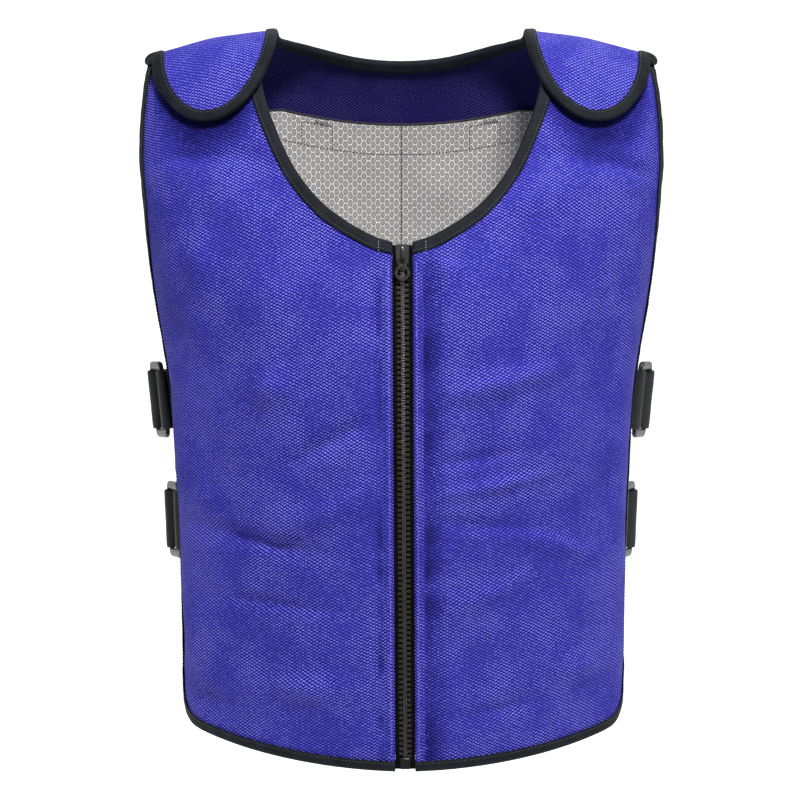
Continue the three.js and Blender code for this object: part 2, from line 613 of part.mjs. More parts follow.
// A group that sits on the zip at a run, with its Z along the zip and its -Y out of the chest
function onZip(run) {
  const [below, above] = [run - 1, run + 1].map((r) => vestPoint(1, 0, r, zipMiddle));
  const [, way, up] = sum(above, below, -1);
  const group = new THREE.Group();
  group.position.set(...vestPoint(1, 0, run, zipMiddle));
  group.rotation.x = Math.atan2(-way, up);
  vest.add(group);
  return group;
}
const boxThick = teethThick / 2 + 1;
const zipBox = boxBetween([-teethHalf, -boxThick, -boxLength / 2], [teethHalf, boxThick, boxLength / 2]);
add("zip_box", zipBox, blackResin, onZip(hemRun + boxLength / 2));

// Slider: two plates joined by a post above the teeth, with a bridge on the front plate
const slider = onZip(sliderRun);
const plateIn = teethThick / 2 + sliderGap;
const plateOut = plateIn + sliderPlate;
const bridgeHalf = 1.1;
const bridgeInset = 2; // the bridge stops this far from each end of its plate
const bridgeReach = sliderLength / 2 - bridgeInset;
const bridgeLeg = 1.4;
const joinDepth = 0.1; // pieces of the slider reach this far into each other where they join
const pinGap = 0.45; // wide enough for the corners of the pull's square bar as it turns
const bridgeIn = plateOut + pullThick + 2 * pinGap;
const bridgeOut = bridgeIn + bridgeHalf;
const end = sliderLength / 2;
const bridgeShape = boxBetween(
  [-bridgeHalf, -bridgeOut, -bridgeReach],
  [bridgeHalf, -plateIn - joinDepth, bridgeReach],
);
const underBridge = boxBetween(
  [-sliderHalf, -bridgeIn, bridgeLeg - bridgeReach],
  [sliderHalf, -plateOut, bridgeReach - bridgeLeg],
);
const plates = [-1, 1].map((way) => {
  const [low, high] = [way * plateIn, way * plateOut].sort((a, b) => a - b);
  return asSolid(boxBetween([-sliderHalf, low, -end], [sliderHalf, high, end]));
});
const postInset = 1; // the post is this much narrower than the teeth on each side
const post = asSolid(boxBetween(
  [postInset - teethHalf, -plateIn - joinDepth, end - postLength],
  [teethHalf - postInset, plateIn + joinDepth, end],
));
const bridge = asSolid(bridgeShape).subtract(asSolid(underBridge));
add("zip_slider", asGeometry(plates[0].add(plates[1]).add(post).add(bridge)), blackResin, slider);

// Pull: a flat tab whose top bar lies under the bridge, with a round end that has a finger hole
const pullTop = 3.4;
const pullWindow = 4.4;
const holeHalf = 3.7; // radius of the finger hole
const pull = new THREE.Group();
pull.position.set(0, -plateOut - pinGap - pullThick / 2, bridgeLeg + pinGap + pullThick / 2 - bridgeReach);
slider.add(pull);
const bulbMiddle = pullHalf - pullLength;
const pullShape = new THREE.Shape();
pullShape.moveTo(-pullTop, pullThick / 2);
pullShape.lineTo(-pullTop, -pullWindow - pullThick);
pullShape.absarc(0, bulbMiddle, pullHalf, Math.PI * 0.72, Math.PI * 2.28, false);
pullShape.lineTo(pullTop, -pullWindow - pullThick);
pullShape.lineTo(pullTop, pullThick / 2);
const windowHalf = bridgeHalf + 2 * seamGap;
const windowHole = new THREE.Path([
  new THREE.Vector2(-windowHalf, -pullThick / 2),
  new THREE.Vector2(windowHalf, -pullThick / 2),
  new THREE.Vector2(windowHalf, -pullThick / 2 - pullWindow),
  new THREE.Vector2(-windowHalf, -pullThick / 2 - pullWindow),
]);
const fingerHole = new THREE.Path();
fingerHole.absarc(0, bulbMiddle, holeHalf, 0, Math.PI * 2, true);
pullShape.holes.push(windowHole, fingerHole);
const tab = new THREE.ExtrudeGeometry(pullShape, { depth: pullThick, bevelEnabled: false, curveSegments: 10 });
tab.translate(0, 0, -pullThick / 2).rotateX(Math.PI / 2);
add("zip_pull", tab, blackResin, pull);

// Side straps: a tab on the front panel, a ring, and a strap to the back panel
const loopSides = 10;
const barCorner = Math.hypot(ringBar / 2, ringBar / 4);
const loopIn = (barCorner + seamGap) / Math.cos(Math.PI / loopSides);
const loopOut = loopIn + webbingCloth;
const strapHold = 11; // how far a strap reaches in behind a panel's edge
const strapBend = 3.5; // and runs straight on this far past it before it turns to the ring
const strapHeight = -2 * seamGap - bindingCloth - bindingSlack - webbingCloth / 2;
const swing = THREE.MathUtils.degToRad(ringSwing);
const ringHole = webbingWidth + ringSlack;
function webbing(path, side) {
  const square = squareTo(path);
  const edge = (way) => path.map((point, n) => sum(point, square[n], (way * webbingCloth) / 2));
  const outline = [...edge(1), ...edge(-1).reverse()].map(([x, y]) => new THREE.Vector2(side * x, y));
  const options = { depth: webbingWidth, bevelEnabled: false };
  const strip = new THREE.ExtrudeGeometry(new THREE.Shape(outline), options).translate(0, 0, -webbingWidth / 2);
  const [x, y] = path.at(-1);
  const drum = (radius, length) => {
    const geometry = new THREE.CylinderGeometry(radius, radius, length, loopSides);
    return asSolid(geometry.rotateX(Math.PI / 2).translate(side * x, y, 0));
  };
  const looped = asSolid(strip).add(drum(loopOut, webbingWidth));
  return asGeometry(looped.subtract(drum(loopIn, 2 * webbingWidth)));
}
function roundedBox(width, height, radius) {
  const shape = new THREE.Shape();
  const [x, y] = [width / 2 - radius, height / 2 - radius];
  shape.absarc(x, y, radius, 0, Math.PI / 2);
  shape.absarc(-x, y, radius, Math.PI / 2, Math.PI);
  shape.absarc(-x, -y, radius, Math.PI, 1.5 * Math.PI);
  shape.absarc(x, -y, radius, 1.5 * Math.PI, 2 * Math.PI);
  return shape;
}
function ringGeometry(side) {
  const bevel = ringBar / 4;
  const shape = roundedBox(ringReach - 2 * bevel, ringHole + 2 * ringBar - 2 * bevel, ringBar * 1.2);
  const hole = roundedBox(ringReach - 2 * ringBar + 2 * bevel, ringHole + 2 * bevel, bevel * 1.5);
  shape.holes.push(new THREE.Path(hole.getPoints(1).reverse()));
  const [bevelSize, bevelThickness, depth] = [bevel, bevel, ringBar - 2 * bevel];
  const options = { depth, bevelSize, bevelThickness, bevelSegments: 1, curveSegments: 2 };
  const ring = new THREE.ExtrudeGeometry(shape, options).translate(0, 0, -depth / 2);
  return ring.rotateX(Math.PI / 2).rotateZ(Math.PI / 2 - side * swing);
}
function sideStrap(side, hand, level, drop, stand) {
  const run = runAtDrop(drop, false);
  const backRun = runAtDrop(drop, true);
  const rises = [-webbingWidth / 2, 0, webbingWidth / 2];
  const [lowHalf, half, highHalf] = rises.map((rise) => sectionAt(placeAlong(run + rise))[1]);
  const group = new THREE.Group();
  group.position.set(side * half, 0, -drop);
  group.rotation.y = side * Math.atan2(highHalf - lowHalf, webbingWidth);
  vest.add(group);
  const plan = (r, inset) => {
    const [x, y] = vestPoint(side, edgeAt(r) - inset, r, strapHeight);
    return [side * x - half, y];
  };
  const middle = [stand, ringBack];
  const barAway = (ringReach - ringBar) / 2;
  const way = [Math.sin(swing), Math.cos(swing)];
  const insets = [strapHold, 0, -strapBend];
  const frontPath = [...insets.map((inset) => plan(run, inset)), sum(middle, way, -barAway)];
  const backPath = [...insets.map((inset) => plan(backRun, inset)), sum(middle, way, barAway)];
  add(`side_tab_${level}_${hand}`, webbing(frontPath, side), blackWeb, group);
  add(`side_strap_${level}_${hand}`, webbing(backPath, side), blackWeb, group);
  const ring = add(`side_ring_${level}_${hand}`, ringGeometry(side), blackResin, group);
  ring.position.set(side * middle[0], middle[1], 0);
}
sides.forEach(({ side, hand }) => {
  sideStrap(side, hand, "upper", upperStrapDrop, upperRingStand);
  sideStrap(side, hand, "lower", lowerStrapDrop, lowerRingStand);
});

export default vest;
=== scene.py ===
import math

import bmesh
import bpy
import numpy as np
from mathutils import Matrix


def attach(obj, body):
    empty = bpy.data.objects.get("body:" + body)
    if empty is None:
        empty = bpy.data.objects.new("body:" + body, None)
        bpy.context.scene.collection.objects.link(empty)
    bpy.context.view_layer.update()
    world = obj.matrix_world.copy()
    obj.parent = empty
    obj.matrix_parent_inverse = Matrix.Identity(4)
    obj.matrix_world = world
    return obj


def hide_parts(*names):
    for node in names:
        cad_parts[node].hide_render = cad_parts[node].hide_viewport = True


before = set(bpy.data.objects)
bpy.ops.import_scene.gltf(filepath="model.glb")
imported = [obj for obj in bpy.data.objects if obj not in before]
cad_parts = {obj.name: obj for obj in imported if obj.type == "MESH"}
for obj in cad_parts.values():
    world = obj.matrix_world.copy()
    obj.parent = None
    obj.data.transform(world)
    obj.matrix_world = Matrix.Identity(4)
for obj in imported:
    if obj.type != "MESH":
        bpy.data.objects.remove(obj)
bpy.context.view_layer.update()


# Camera. It stands two metres in front of the chest, a little above the middle of the vest, and looks
# slightly down through a long lens. Its lens and shift are worked out for a frame 800 pixels square.
AIM = (0.0, 0.0, -0.298)
CAMERA_AWAY = 2.0
CAMERA_RISE = math.radians(4.0)
FOCAL_PIXELS = 2381.0
FRAME_PIXELS = 800.0
MIDDLE_PIXEL = 401.0
camera_data = bpy.data.cameras.new("camera")
camera_data.sensor_width = 36.0
camera_data.lens = FOCAL_PIXELS / FRAME_PIXELS * camera_data.sensor_width
camera_data.shift_x = (FRAME_PIXELS / 2 - MIDDLE_PIXEL) / FRAME_PIXELS
camera = bpy.data.objects.new("camera", camera_data)
camera.location = (
    AIM[0],
    AIM[1] - CAMERA_AWAY * math.cos(CAMERA_RISE),
    AIM[2] + CAMERA_AWAY * math.sin(CAMERA_RISE),
)
camera.rotation_euler = (math.pi / 2 - CAMERA_RISE, 0.0, 0.0)
bpy.context.scene.collection.objects.link(camera)
bpy.context.scene.camera = camera


# Studio. A white paper sweep that glows a little runs down behind the vest and forward under it. A small
# soft lamp above the camera does most, with a weak one at each side, a large one behind and a dim sky.
PAPER = (0.93, 0.93, 0.94, 1.0)
PAPER_GLOW = 0.6
FLOOR_LEVEL = -0.85
SWEEP_NEAR = -0.4
SWEEP_FAR = 3.2
SWEEP_TOP = 4.5
SWEEP_HALF = 6.0
SWEEP_TURN = 1.5


def mesh_object(name, points, faces, material=None, uv=None):
    """A smooth mesh from points and faces. uv, if given, has one pair for each point."""
    mesh = bpy.data.meshes.new(name)
    mesh.from_pydata(np.asarray(points, dtype=float).tolist(), [], [list(face) for face in faces])
    mesh.polygons.foreach_set("use_smooth", np.ones(len(mesh.polygons), dtype=bool))
    if uv is not None:
        corners = np.empty(len(mesh.loops), dtype=np.int32)
        mesh.loops.foreach_get("vertex_index", corners)
        mesh.uv_layers.new(name="cloth").data.foreach_set("uv", np.asarray(uv)[corners].ravel())
    if material is not None:
        mesh.materials.append(material)
    piece = bpy.data.objects.new(name, mesh)
    bpy.context.scene.collection.objects.link(piece)
    return piece


def grid_faces(rows, columns, closed=False, offset=0):
    """Quads between neighbouring points of a grid that is stored row by row. closed joins the last
    column to the first."""
    i, j = np.meshgrid(np.arange(rows - 1), np.arange(columns if closed else columns - 1), indexing="ij")
    k = (j + 1) % columns
    return offset + np.stack([i * columns + j, i * columns + k, (i + 1) * columns + k,
                              (i + 1) * columns + j], axis=-1).reshape(-1, 4)


def plain_material(name, color, roughness):
    """A material with its Principled shader, returned as (material, nodes, links, shader)."""
    material = bpy.data.materials.new(name)
    material.use_nodes = True
    nodes = material.node_tree.nodes
    shader = nodes["Principled BSDF"]
    shader.inputs["Base Color"].default_value = (*color[:3], 1.0)
    shader.inputs["Roughness"].default_value = roughness
    return material, nodes, material.node_tree.links, shader


paper, _, _, paper_shader = plain_material("paper", PAPER, 0.9)
paper_shader.inputs["Emission Color"].default_value = (1.0, 1.0, 1.0, 1.0)
paper_shader.inputs["Emission Strength"].default_value = PAPER_GLOW
bend = np.linspace(0.0, math.pi / 2, 13)
sweep_y = np.concatenate([[SWEEP_NEAR], SWEEP_FAR - SWEEP_TURN + SWEEP_TURN * np.sin(bend), [SWEEP_FAR]])
sweep_z = FLOOR_LEVEL + np.concatenate([[0.0], SWEEP_TURN - SWEEP_TURN * np.cos(bend), [SWEEP_TOP]])
sweep = np.stack([
    np.tile([-SWEEP_HALF, SWEEP_HALF], len(sweep_y)),
    np.repeat(sweep_y, 2),
    np.repeat(sweep_z, 2),
], axis=-1)
backdrop = mesh_object("backdrop", sweep, grid_faces(len(sweep_y), 2), paper)


def area_lamp(name, place, size, watts):
    """A square soft lamp that faces the middle of the vest."""
    data = bpy.data.lights.new(name, "AREA")
    data.size = size
    data.energy = watts
    lamp = bpy.data.objects.new(name, data)
    lamp.location = place
    away = np.array(place) - np.array(AIM)
    yaw = math.atan2(away[0], -away[1])
    pitch = math.atan2(math.hypot(away[0], away[1]), away[2])
    lamp.rotation_euler = (pitch, 0.0, yaw)
    bpy.context.scene.collection.objects.link(lamp)


area_lamp("key_lamp", (0.25, -1.45, 1.2), 0.42, 53.0)
area_lamp("left_lamp", (-2.4, -1.4, 0.5), 0.8, 3.0)
area_lamp("right_lamp", (2.4, -1.4, 0.5), 0.8, 5.0)
area_lamp("rim_lamp", (0.3, 1.6, 1.6), 1.4, 16.0)
sky = bpy.data.worlds.new("sky")
sky.use_nodes = True
sky.node_tree.nodes["Background"].inputs["Color"].default_value = (0.95, 0.97, 1.0, 1.0)
sky.node_tree.nodes["Background"].inputs["Strength"].default_value = 0.17
bpy.context.scene.world = sky
bpy.context.scene.view_settings.view_transform = "Standard"


# Front panels. Each is a quilted pad, two layers of ribbed blue knit with a water-holding filling
# between them, cut to the chest and pulled round to the side. The zip edge is turned in and
# topstitched, so that a narrow raised strip runs beside the zip.
MM = 0.001
BODY_LENGTH = 587.0
SHOULDER_HALF = 216.0
FRONT_DEPTH = 119.5
BACK_DEPTH = 113.0
SHOULDER_DROP = 23.0
CORNER_SHARE = 0.6
NECK_HALF = 103.0
FRONT_NECK_HALF = 116.0
NECK_DROP = 167.0
HEM_RISE = 31.0
HEM_CORNER = 49.0
ZIP_HALF = 8.0
ZIP_LEAN = 3.5
LEAN_REACH = 0.75
SIDE_LEAN = 0.6
WALL = 3.5
PADDING = 4.5
PAD_SLOPE = 45.0
SEAM_MARGIN = 12.0
FRONT_END = 20.0
FLAP_REACH = 93.0
FLAP_ROUND = 70.0
FLAP_INSET = 12.0
SAME_POINT = 1e-6
LEAST_THICK = 1.4

# The vest's form on its wearer, from the front hem over the shoulder to the back hem. Shares: down of
# BODY_LENGTH, wide of SHOULDER_HALF, middle and side of the depth, edge of FRONT_DEPTH, drop of
# SHOULDER_DROP.
SECTIONS = np.array([
    # down, wide, middle, side, edge, drop
    (1.02, 0.832, -0.92, 0, 0.09, 0),
    (0.915, 0.84, -0.95, 0, 0.09, 0),
    (0.814, 0.844, -0.973, 0, 0.09, 0),
    (0.712, 0.85, -0.99, 0, 0.09, 0),
    (0.61, 0.862, -1, 0, 0.09, 0),
    (0.517, 0.876, -1, 0, 0.09, 0),
    (0.432, 0.904, -0.985, -0.01, 0.06, 0),
    (0.353, 0.935, -0.94, -0.05, 0, 0),
    (0.28, 0.957, -0.868, -0.095, -0.07, 0.1),
    (0.212, 0.976, -0.78, -0.125, -0.125, 0.3),
    (0.149, 0.99, -0.678, -0.125, -0.13, 0.6),
    (0.092, 0.987, -0.56, -0.1, -0.11, 0.85),
    (0.044, 0.978, -0.414, -0.067, -0.085, 1),
    (0.012, 0.965, -0.218, -0.008, -0.05, 1),
    (0, 0.957, 0.044, 0.044, 0, 1),
    (0.006, 0.957, 0.42, 0.106, -0.04, 1),
    (0.025, 0.962, 0.58, 0.16, -0.09, 1),
    (0.064, 0.966, 0.72, 0.195, -0.15, 0.85),
    (0.125, 0.962, 0.83, 0.212, -0.2, 0.6),
    (0.197, 0.95, 0.915, 0.221, -0.25, 0.3),
    (0.275, 0.932, 0.973, 0.221, -0.29, 0.1),
    (0.353, 0.912, 1, 0.212, -0.32, 0),
    (0.432, 0.893, 0.991, 0.195, -0.33, 0),
    (0.517, 0.876, 0.947, 0.177, -0.32, 0),
    (0.61, 0.862, 0.876, 0.177, -0.3, 0),
    (0.712, 0.85, 0.814, 0.177, -0.28, 0),
    (0.814, 0.844, 0.796, 0.177, -0.27, 0),
    (0.915, 0.842, 0.832, 0.177, -0.27, 0),
    (1.02, 0.844, 0.876, 0.177, -0.27, 0),
])
TOP_SECTION = 14
depths = np.where(SECTIONS[:, 2] < 0, FRONT_DEPTH, BACK_DEPTH)
SIZED = np.stack([
    -SECTIONS[:, 0] * BODY_LENGTH, SECTIONS[:, 1] * SHOULDER_HALF, SECTIONS[:, 2] * depths,
    SECTIONS[:, 3] * depths, SECTIONS[:, 4] * FRONT_DEPTH, SECTIONS[:, 5] * SHOULDER_DROP,
], axis=-1)


def section(place):
    """Height, half width, middle, side, edge and drop at a place between two sections, on a
    Catmull-Rom curve through the rows of the table."""
    place = np.asarray(place, dtype=float)
    last = len(SIZED) - 1
    i = np.clip(np.floor(place).astype(int), 0, last - 1)
    a, b, c, d = (SIZED[np.clip(i + k, 0, last)] for k in (-1, 0, 1, 2))
    t = (place - i)[..., None]
    curve = b + 0.5 * t * (c - a + t * (2 * a - 5 * b + 4 * c - d + t * (3 * (b - c) + d - a)))
    return np.moveaxis(curve, -1, 0)


def arcs(place):
    """The two arcs of a section: a wide one of radius r over the chest and a small one of radius t
    round to the side, with the angle where they meet and the cloth's length to the widest point."""
    height, half, middle, side, edge, drop = section(place)
    depth = np.maximum(1e-3, np.abs(side - middle))
    turn = CORNER_SHARE * depth
    radius = ((half - turn) ** 2 + depth ** 2 - turn ** 2) / (2 * (depth - turn))
    angle = np.arctan2(half - turn, radius - depth)
    widest = radius * angle + turn * (math.pi / 2 - angle)
    return height, half, middle, side, edge, drop, depth, turn, radius, angle, widest


def form(across, place):
    """Point of the form at a distance across from the middle, measured along the cloth: on the wide
    arc x = r sin(a / r), on the small arc x = half - t + t sin(angle), and straight back past it."""
    height, half, middle, side, edge, drop, depth, turn, radius, angle, widest = arcs(place)
    wide = radius * angle
    turned = angle + (across - wide) / turn
    x = np.where(across < wide, radius * np.sin(across / radius), half - turn + turn * np.sin(turned))
    x = np.where(across < widest, x, half)
    back = np.where(across < wide, 2 * radius * np.sin(across / radius / 2) ** 2,
                    depth - turn * np.cos(turned))
    back = np.where(across < widest, back, depth + across - widest)
    outward = np.maximum(0.0, (x - NECK_HALF) / (SHOULDER_HALF - NECK_HALF))
    return np.stack([x, middle + np.sign(side - middle) * back, height - drop * outward ** 1.5], axis=-1)


# A tape measure over the shoulder gives each run (zero on top, negative in front) its place.
tape_place = np.linspace(0, len(SIZED) - 1, 40 * (len(SIZED) - 1) + 1)
tape_points = form(np.full_like(tape_place, (NECK_HALF + SHOULDER_HALF) / 2), tape_place)
tape_run = np.concatenate([[0.0], np.cumsum(np.linalg.norm(np.diff(tape_points, axis=0), axis=1))])
tape_run -= np.interp(TOP_SECTION, tape_place, tape_run)


def place_at(run):
    """The place in the table of sections at a run along the tape measure."""
    return np.interp(run, tape_run, tape_place)


def run_at_drop(drop, behind):
    """The run at which the form lies at a height, found on the front or the back half of the tape."""
    half = tape_place >= TOP_SECTION if behind else tape_place <= TOP_SECTION
    heights = -section(tape_place[half])[0]
    runs = tape_run[half]
    order = np.argsort(heights, kind="stable")
    return float(np.interp(drop, heights[order], runs[order]))


def edge_at(run):
    """How far across the cloth reaches at a run: the length to the widest point plus the edge."""
    values = arcs(place_at(run))
    return values[10] + values[4]


def across_at_width(width, run):
    """The length along the cloth to a given width x on the wide arc of radius r: r asin(x / r)."""
    radius = arcs(place_at(run))[8]
    return radius * np.arcsin(np.minimum(1.0, width / radius))


def smooth(t):
    """Eases from 0 to 1 as t does: t^2 (3 - 2 t)."""
    t = np.clip(t, 0.0, 1.0)
    return t * t * (3 - 2 * t)


def lay(side, across, run, height):
    """Lays pattern points on the form, in metres: the form's point plus height along its outward
    normal, mirrored for the wearer's right, with the zip's slight lean added near the middle."""
    across, run, height = np.broadcast_arrays(np.asarray(across, float), run, height)
    side = np.where(across < 0, -side, side)
    across = np.abs(across)
    place = place_at(run)
    u = form(across + 1.0, place) - form(np.maximum(0.0, across - 1.0), place)
    v = form(across, place + 0.02) - form(across, place - 0.02)
    normal = np.cross(u, v)
    normal /= np.linalg.norm(normal, axis=-1, keepdims=True)
    x, y, z = np.moveaxis(form(across, place) + height[..., None] * normal, -1, 0)
    share = 1 - (1 - SIDE_LEAN) * smooth(x / (LEAN_REACH * SHOULDER_HALF))
    lean = np.where(run < 0, ZIP_LEAN * share * -z / BODY_LENGTH, 0.0)
    return MM * np.stack([side * x + lean, y, z], axis=-1)


def ripples(across, run, pitch, seed):
    """Smooth random rise and fall between about -1 and 1: random heights on a square net of a given
    pitch, blended between its knots."""
    net = np.random.default_rng(seed).uniform(-1, 1, (128, 512))
    u, v = np.asarray(across) / pitch + 40, np.asarray(run) / pitch + 250
    i, j = np.floor(u).astype(int), np.floor(v).astype(int)
    fu, fv = smooth(u - i), smooth(v - j)
    i, j = i % 127, j % 511
    low = net[i, j] * (1 - fu) + net[i + 1, j] * fu
    high = net[i, j + 1] * (1 - fu) + net[i + 1, j + 1] * fu
    return low * (1 - fv) + high * fv


def edge_distance(across, run, line):
    """Shortest distance from each flat point to a broken line."""
    a, b = line[:-1], line[1:]
    way = b - a
    point = np.stack([np.ravel(across), np.ravel(run)], axis=-1)[:, None, :]
    t = np.sum((point - a) * way, axis=-1) / np.maximum(1e-9, np.sum(way * way, axis=-1))
    nearest = a + np.clip(t, 0, 1)[..., None] * way
    return np.linalg.norm(point - nearest, axis=-1).min(axis=1).reshape(np.shape(across))


def cloth_solid(name, patches, material, inner_material=None):
    """A closed cloth piece from patches (upper points, lower points, uv, flip), each a grid, with walls
    round its free edges. flip turns a mirrored patch's faces. Points that patches share are joined."""
    points, uvs, quads = [], [], []
    count = 0
    for upper, lower, uv, flip in patches:
        rows, columns = upper.shape[:2]
        faces = grid_faces(rows, columns, offset=count)
        quads.append(faces[:, ::-1] if flip else faces)
        points.append(np.stack([upper.reshape(-1, 3), lower.reshape(-1, 3)], axis=1))
        uvs.append(uv.reshape(-1, 2))
        count += rows * columns
    points, uvs, quads = np.concatenate(points), np.concatenate(uvs), np.concatenate(quads)
    keys = np.round(points[:, 1] / SAME_POINT)
    _, first, joined = np.unique(keys, axis=0, return_index=True, return_inverse=True)
    joined = joined.ravel()
    points, uvs, quads = points[first], uvs[first], joined[quads]
    count = len(points)
    starts = quads.ravel()
    ends = np.roll(quads, -1, axis=1).ravel()
    free = ~np.isin(starts.astype(np.int64) * count + ends, ends.astype(np.int64) * count + starts)
    a, b = starts[free], ends[free]
    walls = np.stack([b, a, a + count, b + count], axis=-1)
    faces = np.concatenate([quads, quads[:, ::-1] + count, walls])
    piece = mesh_object(name, np.concatenate([points[:, 0], points[:, 1]]), faces, material,
                        np.concatenate([uvs, uvs]))
    if inner_material is not None:
        piece.data.materials.append(inner_material)
        index = np.zeros(len(faces), dtype=np.int32)
        index[len(quads):2 * len(quads)] = 1
        piece.data.polygons.foreach_set("material_index", index)
    return piece


def shade_points(piece, grid, values):
    """Writes the values of flat points, here painted shade, to the piece's crease attribute, matched by the
    cloth's UV.
    """
    uv = np.empty(2 * len(piece.data.loops))
    piece.data.uv_layers["cloth"].data.foreach_get("uv", uv)
    corners = np.empty(len(piece.data.loops), dtype=np.int32)
    piece.data.loops.foreach_get("vertex_index", corners)
    keys = np.round(grid.reshape(-1, 2) / SAME_POINT).astype(np.int64)
    flat = dict(zip(map(tuple, keys.tolist()), values.ravel().tolist()))
    wanted = np.round(uv.reshape(-1, 2) / SAME_POINT).astype(np.int64)
    found = np.zeros(len(piece.data.vertices))
    found[corners] = [flat.get(tuple(key), 0.0) for key in wanted.tolist()]
    piece.data.attributes.new("crease", "FLOAT", "POINT").data.foreach_set("value", found)


def smooth_line(points, step):
    """A Catmull-Rom curve through flat points, cut into equal steps."""
    points = np.asarray(points, float)
    padded = np.vstack([2 * points[0] - points[1], points, 2 * points[-1] - points[-2]])
    t = np.linspace(0, 1, 12, endpoint=False)[:, None]
    spans = []
    for a, b, c, d in zip(padded[:-3], padded[1:-2], padded[2:-1], padded[3:]):
        spans.append(b + 0.5 * t * (c - a + t * (2 * a - 5 * b + 4 * c - d + t * (3 * (b - c) + d - a))))
    return even_line(np.vstack([*spans, points[-1:]]), step)


def even_line(line, step):
    """The same line with its points at equal steps along it."""
    run = np.concatenate([[0.0], np.cumsum(np.linalg.norm(np.diff(line, axis=0), axis=1))])
    stops = np.linspace(0, run[-1], max(2, int(round(run[-1] / step)) + 1))
    return np.stack([np.interp(stops, run, line[:, k]) for k in range(line.shape[1])], axis=-1)


NECKLINE = np.array([
    # wide, up
    (0.069, 0), (0.19, 0.026), (0.3, 0.065), (0.41, 0.112), (0.525, 0.172), (0.63, 0.247),
    (0.735, 0.345), (0.82, 0.455), (0.885, 0.56), (0.94, 0.66), (0.975, 0.75), (1, 0.86),
])
hem_run = run_at_drop(BODY_LENGTH, False)
zip_top_run = run_at_drop(NECK_DROP, False)
neck_runs = np.array([run_at_drop(NECK_DROP * (1 - up), False) for up in NECKLINE[:, 1]])
neck_across = across_at_width(NECKLINE[:, 0] * FRONT_NECK_HALF, neck_runs)
neck_across[0] = ZIP_HALF
neck_line = smooth_line(np.stack([neck_across, neck_runs], axis=-1), 2.5)
top_runs = np.linspace(neck_runs[-1], -FRONT_END, 8)[1:]
neck_line = np.vstack([neck_line, np.stack([across_at_width(FRONT_NECK_HALF, top_runs), top_runs], axis=-1)])


def columns_between(inner, outer):
    """Distances across a panel: close together beside its inner edge and wider over its middle."""
    close = np.concatenate([[0, 0.35, 0.9, 1.7, 2.6], np.arange(3.6, 26, 1.3)])
    far = np.linspace(0, 1, 54)[1:, None] * (outer - inner - close[-1]) + close[-1]
    return np.concatenate([np.repeat(close[:, None], len(inner), axis=1), far]).T + inner[:, None]


def front_pattern():
    """Flat points of a front panel: rows from the hem up, columns from the zip or the neck out. The
    hem climbs towards the side and turns up in a round corner, shared by rows and columns."""
    below = np.linspace(hem_run, zip_top_run, 124)[:-1]
    run = np.concatenate([below, neck_line[:, 1]])
    inner = np.concatenate([np.full(len(below), ZIP_HALF), neck_line[:, 0]])
    up = run - hem_run
    height = np.clip(up, HEM_CORNER * (1 - math.sqrt(0.5)), HEM_CORNER)
    inset = HEM_CORNER - np.sqrt(HEM_CORNER ** 2 - (HEM_CORNER - height) ** 2)
    outer = edge_at(run)
    across = columns_between(inner, outer - inset)
    along = np.minimum(1.0, across / outer[:, None])
    past = np.clip(across - outer[:, None] + HEM_CORNER, 0, HEM_CORNER * math.sqrt(0.5))
    corner = HEM_CORNER - np.sqrt(HEM_CORNER ** 2 - past ** 2)
    fade = (1 - smooth(up / (3 * HEM_CORNER))) * np.clip(1 - up / HEM_CORNER, 0, 1)
    lift = HEM_RISE * along ** 1.7 * (1 - smooth(up / (zip_top_run - hem_run)))[:, None]
    return across, run[:, None] + lift + corner * fade[:, None]


# Dents and swells: across and half sizes are shares of SHOULDER_HALF, down of BODY_LENGTH, and rise is
# a share of FOLD_GAIN times PADDING.
FOLDS = np.array([
    # side, across, down, wide, tall, tilt, rise
    (1, 0.77, 0.165, 0.3, 0.05, -6, -1.1), (1, 0.46, 0.22, 0.22, 0.12, 0, 0.8),
    (1, 0.85, 0.36, 0.1, 0.2, 0, -0.5), (1, 0.38, 0.47, 0.3, 0.06, 14, 0.9),
    (1, 0.24, 0.575, 0.26, 0.03, 8, -0.4), (1, 0.34, 0.61, 0.3, 0.03, 10, 0.6),
    (1, 0.3, 0.665, 0.34, 0.034, -6, -0.45), (1, 0.62, 0.7, 0.24, 0.05, -16, 0.7),
    (1, 0.3, 0.76, 0.2, 0.05, 24, 0.6), (1, 0.68, 0.87, 0.14, 0.07, 0, 0.9),
    (1, 0.36, 0.92, 0.24, 0.05, 10, -0.7), (1, 0.84, 0.62, 0.1, 0.12, 0, -0.6),
    (-1, 0.77, 0.155, 0.3, 0.05, 6, -1.1), (-1, 0.76, 0.31, 0.11, 0.14, 6, 0.8),
    (-1, 0.4, 0.3, 0.16, 0.14, -10, -0.4), (-1, 0.93, 0.4, 0.12, 0.22, 0, -0.7),
    (-1, 0.47, 0.48, 0.12, 0.1, -12, 1.0), (-1, 0.26, 0.55, 0.3, 0.05, -30, -0.6),
    (-1, 0.3, 0.65, 0.3, 0.07, -24, 0.7), (-1, 0.55, 0.69, 0.3, 0.05, 8, -0.8),
    (-1, 0.5, 0.775, 0.34, 0.03, 4, -0.45), (-1, 0.78, 0.64, 0.12, 0.1, 0, 0.5),
    (-1, 0.36, 0.89, 0.2, 0.07, 0, 0.9), (-1, 0.8, 0.92, 0.16, 0.08, 10, -0.7),
])
FOLD_GAIN = 1.9
BROAD_RIPPLE = (58, 2.3)
FINE_RIPPLE = (24, 0.7)
STITCH_IN = 8.2
STITCH_GROOVE = 1.5
GROOVE_WIDTH = 1.3
STRIP_IN = 4.2
STRIP_RISE = 1.1
STRIP_WIDTH = 3.2
SWELL_OUT = 19.0
SWELL_WIDTH = 10.0
PUCKER_PITCH = 15.0
FLAP_SHADE = 42.0
KNIT_RIB = 4.6
KNIT_ROW = 2.6
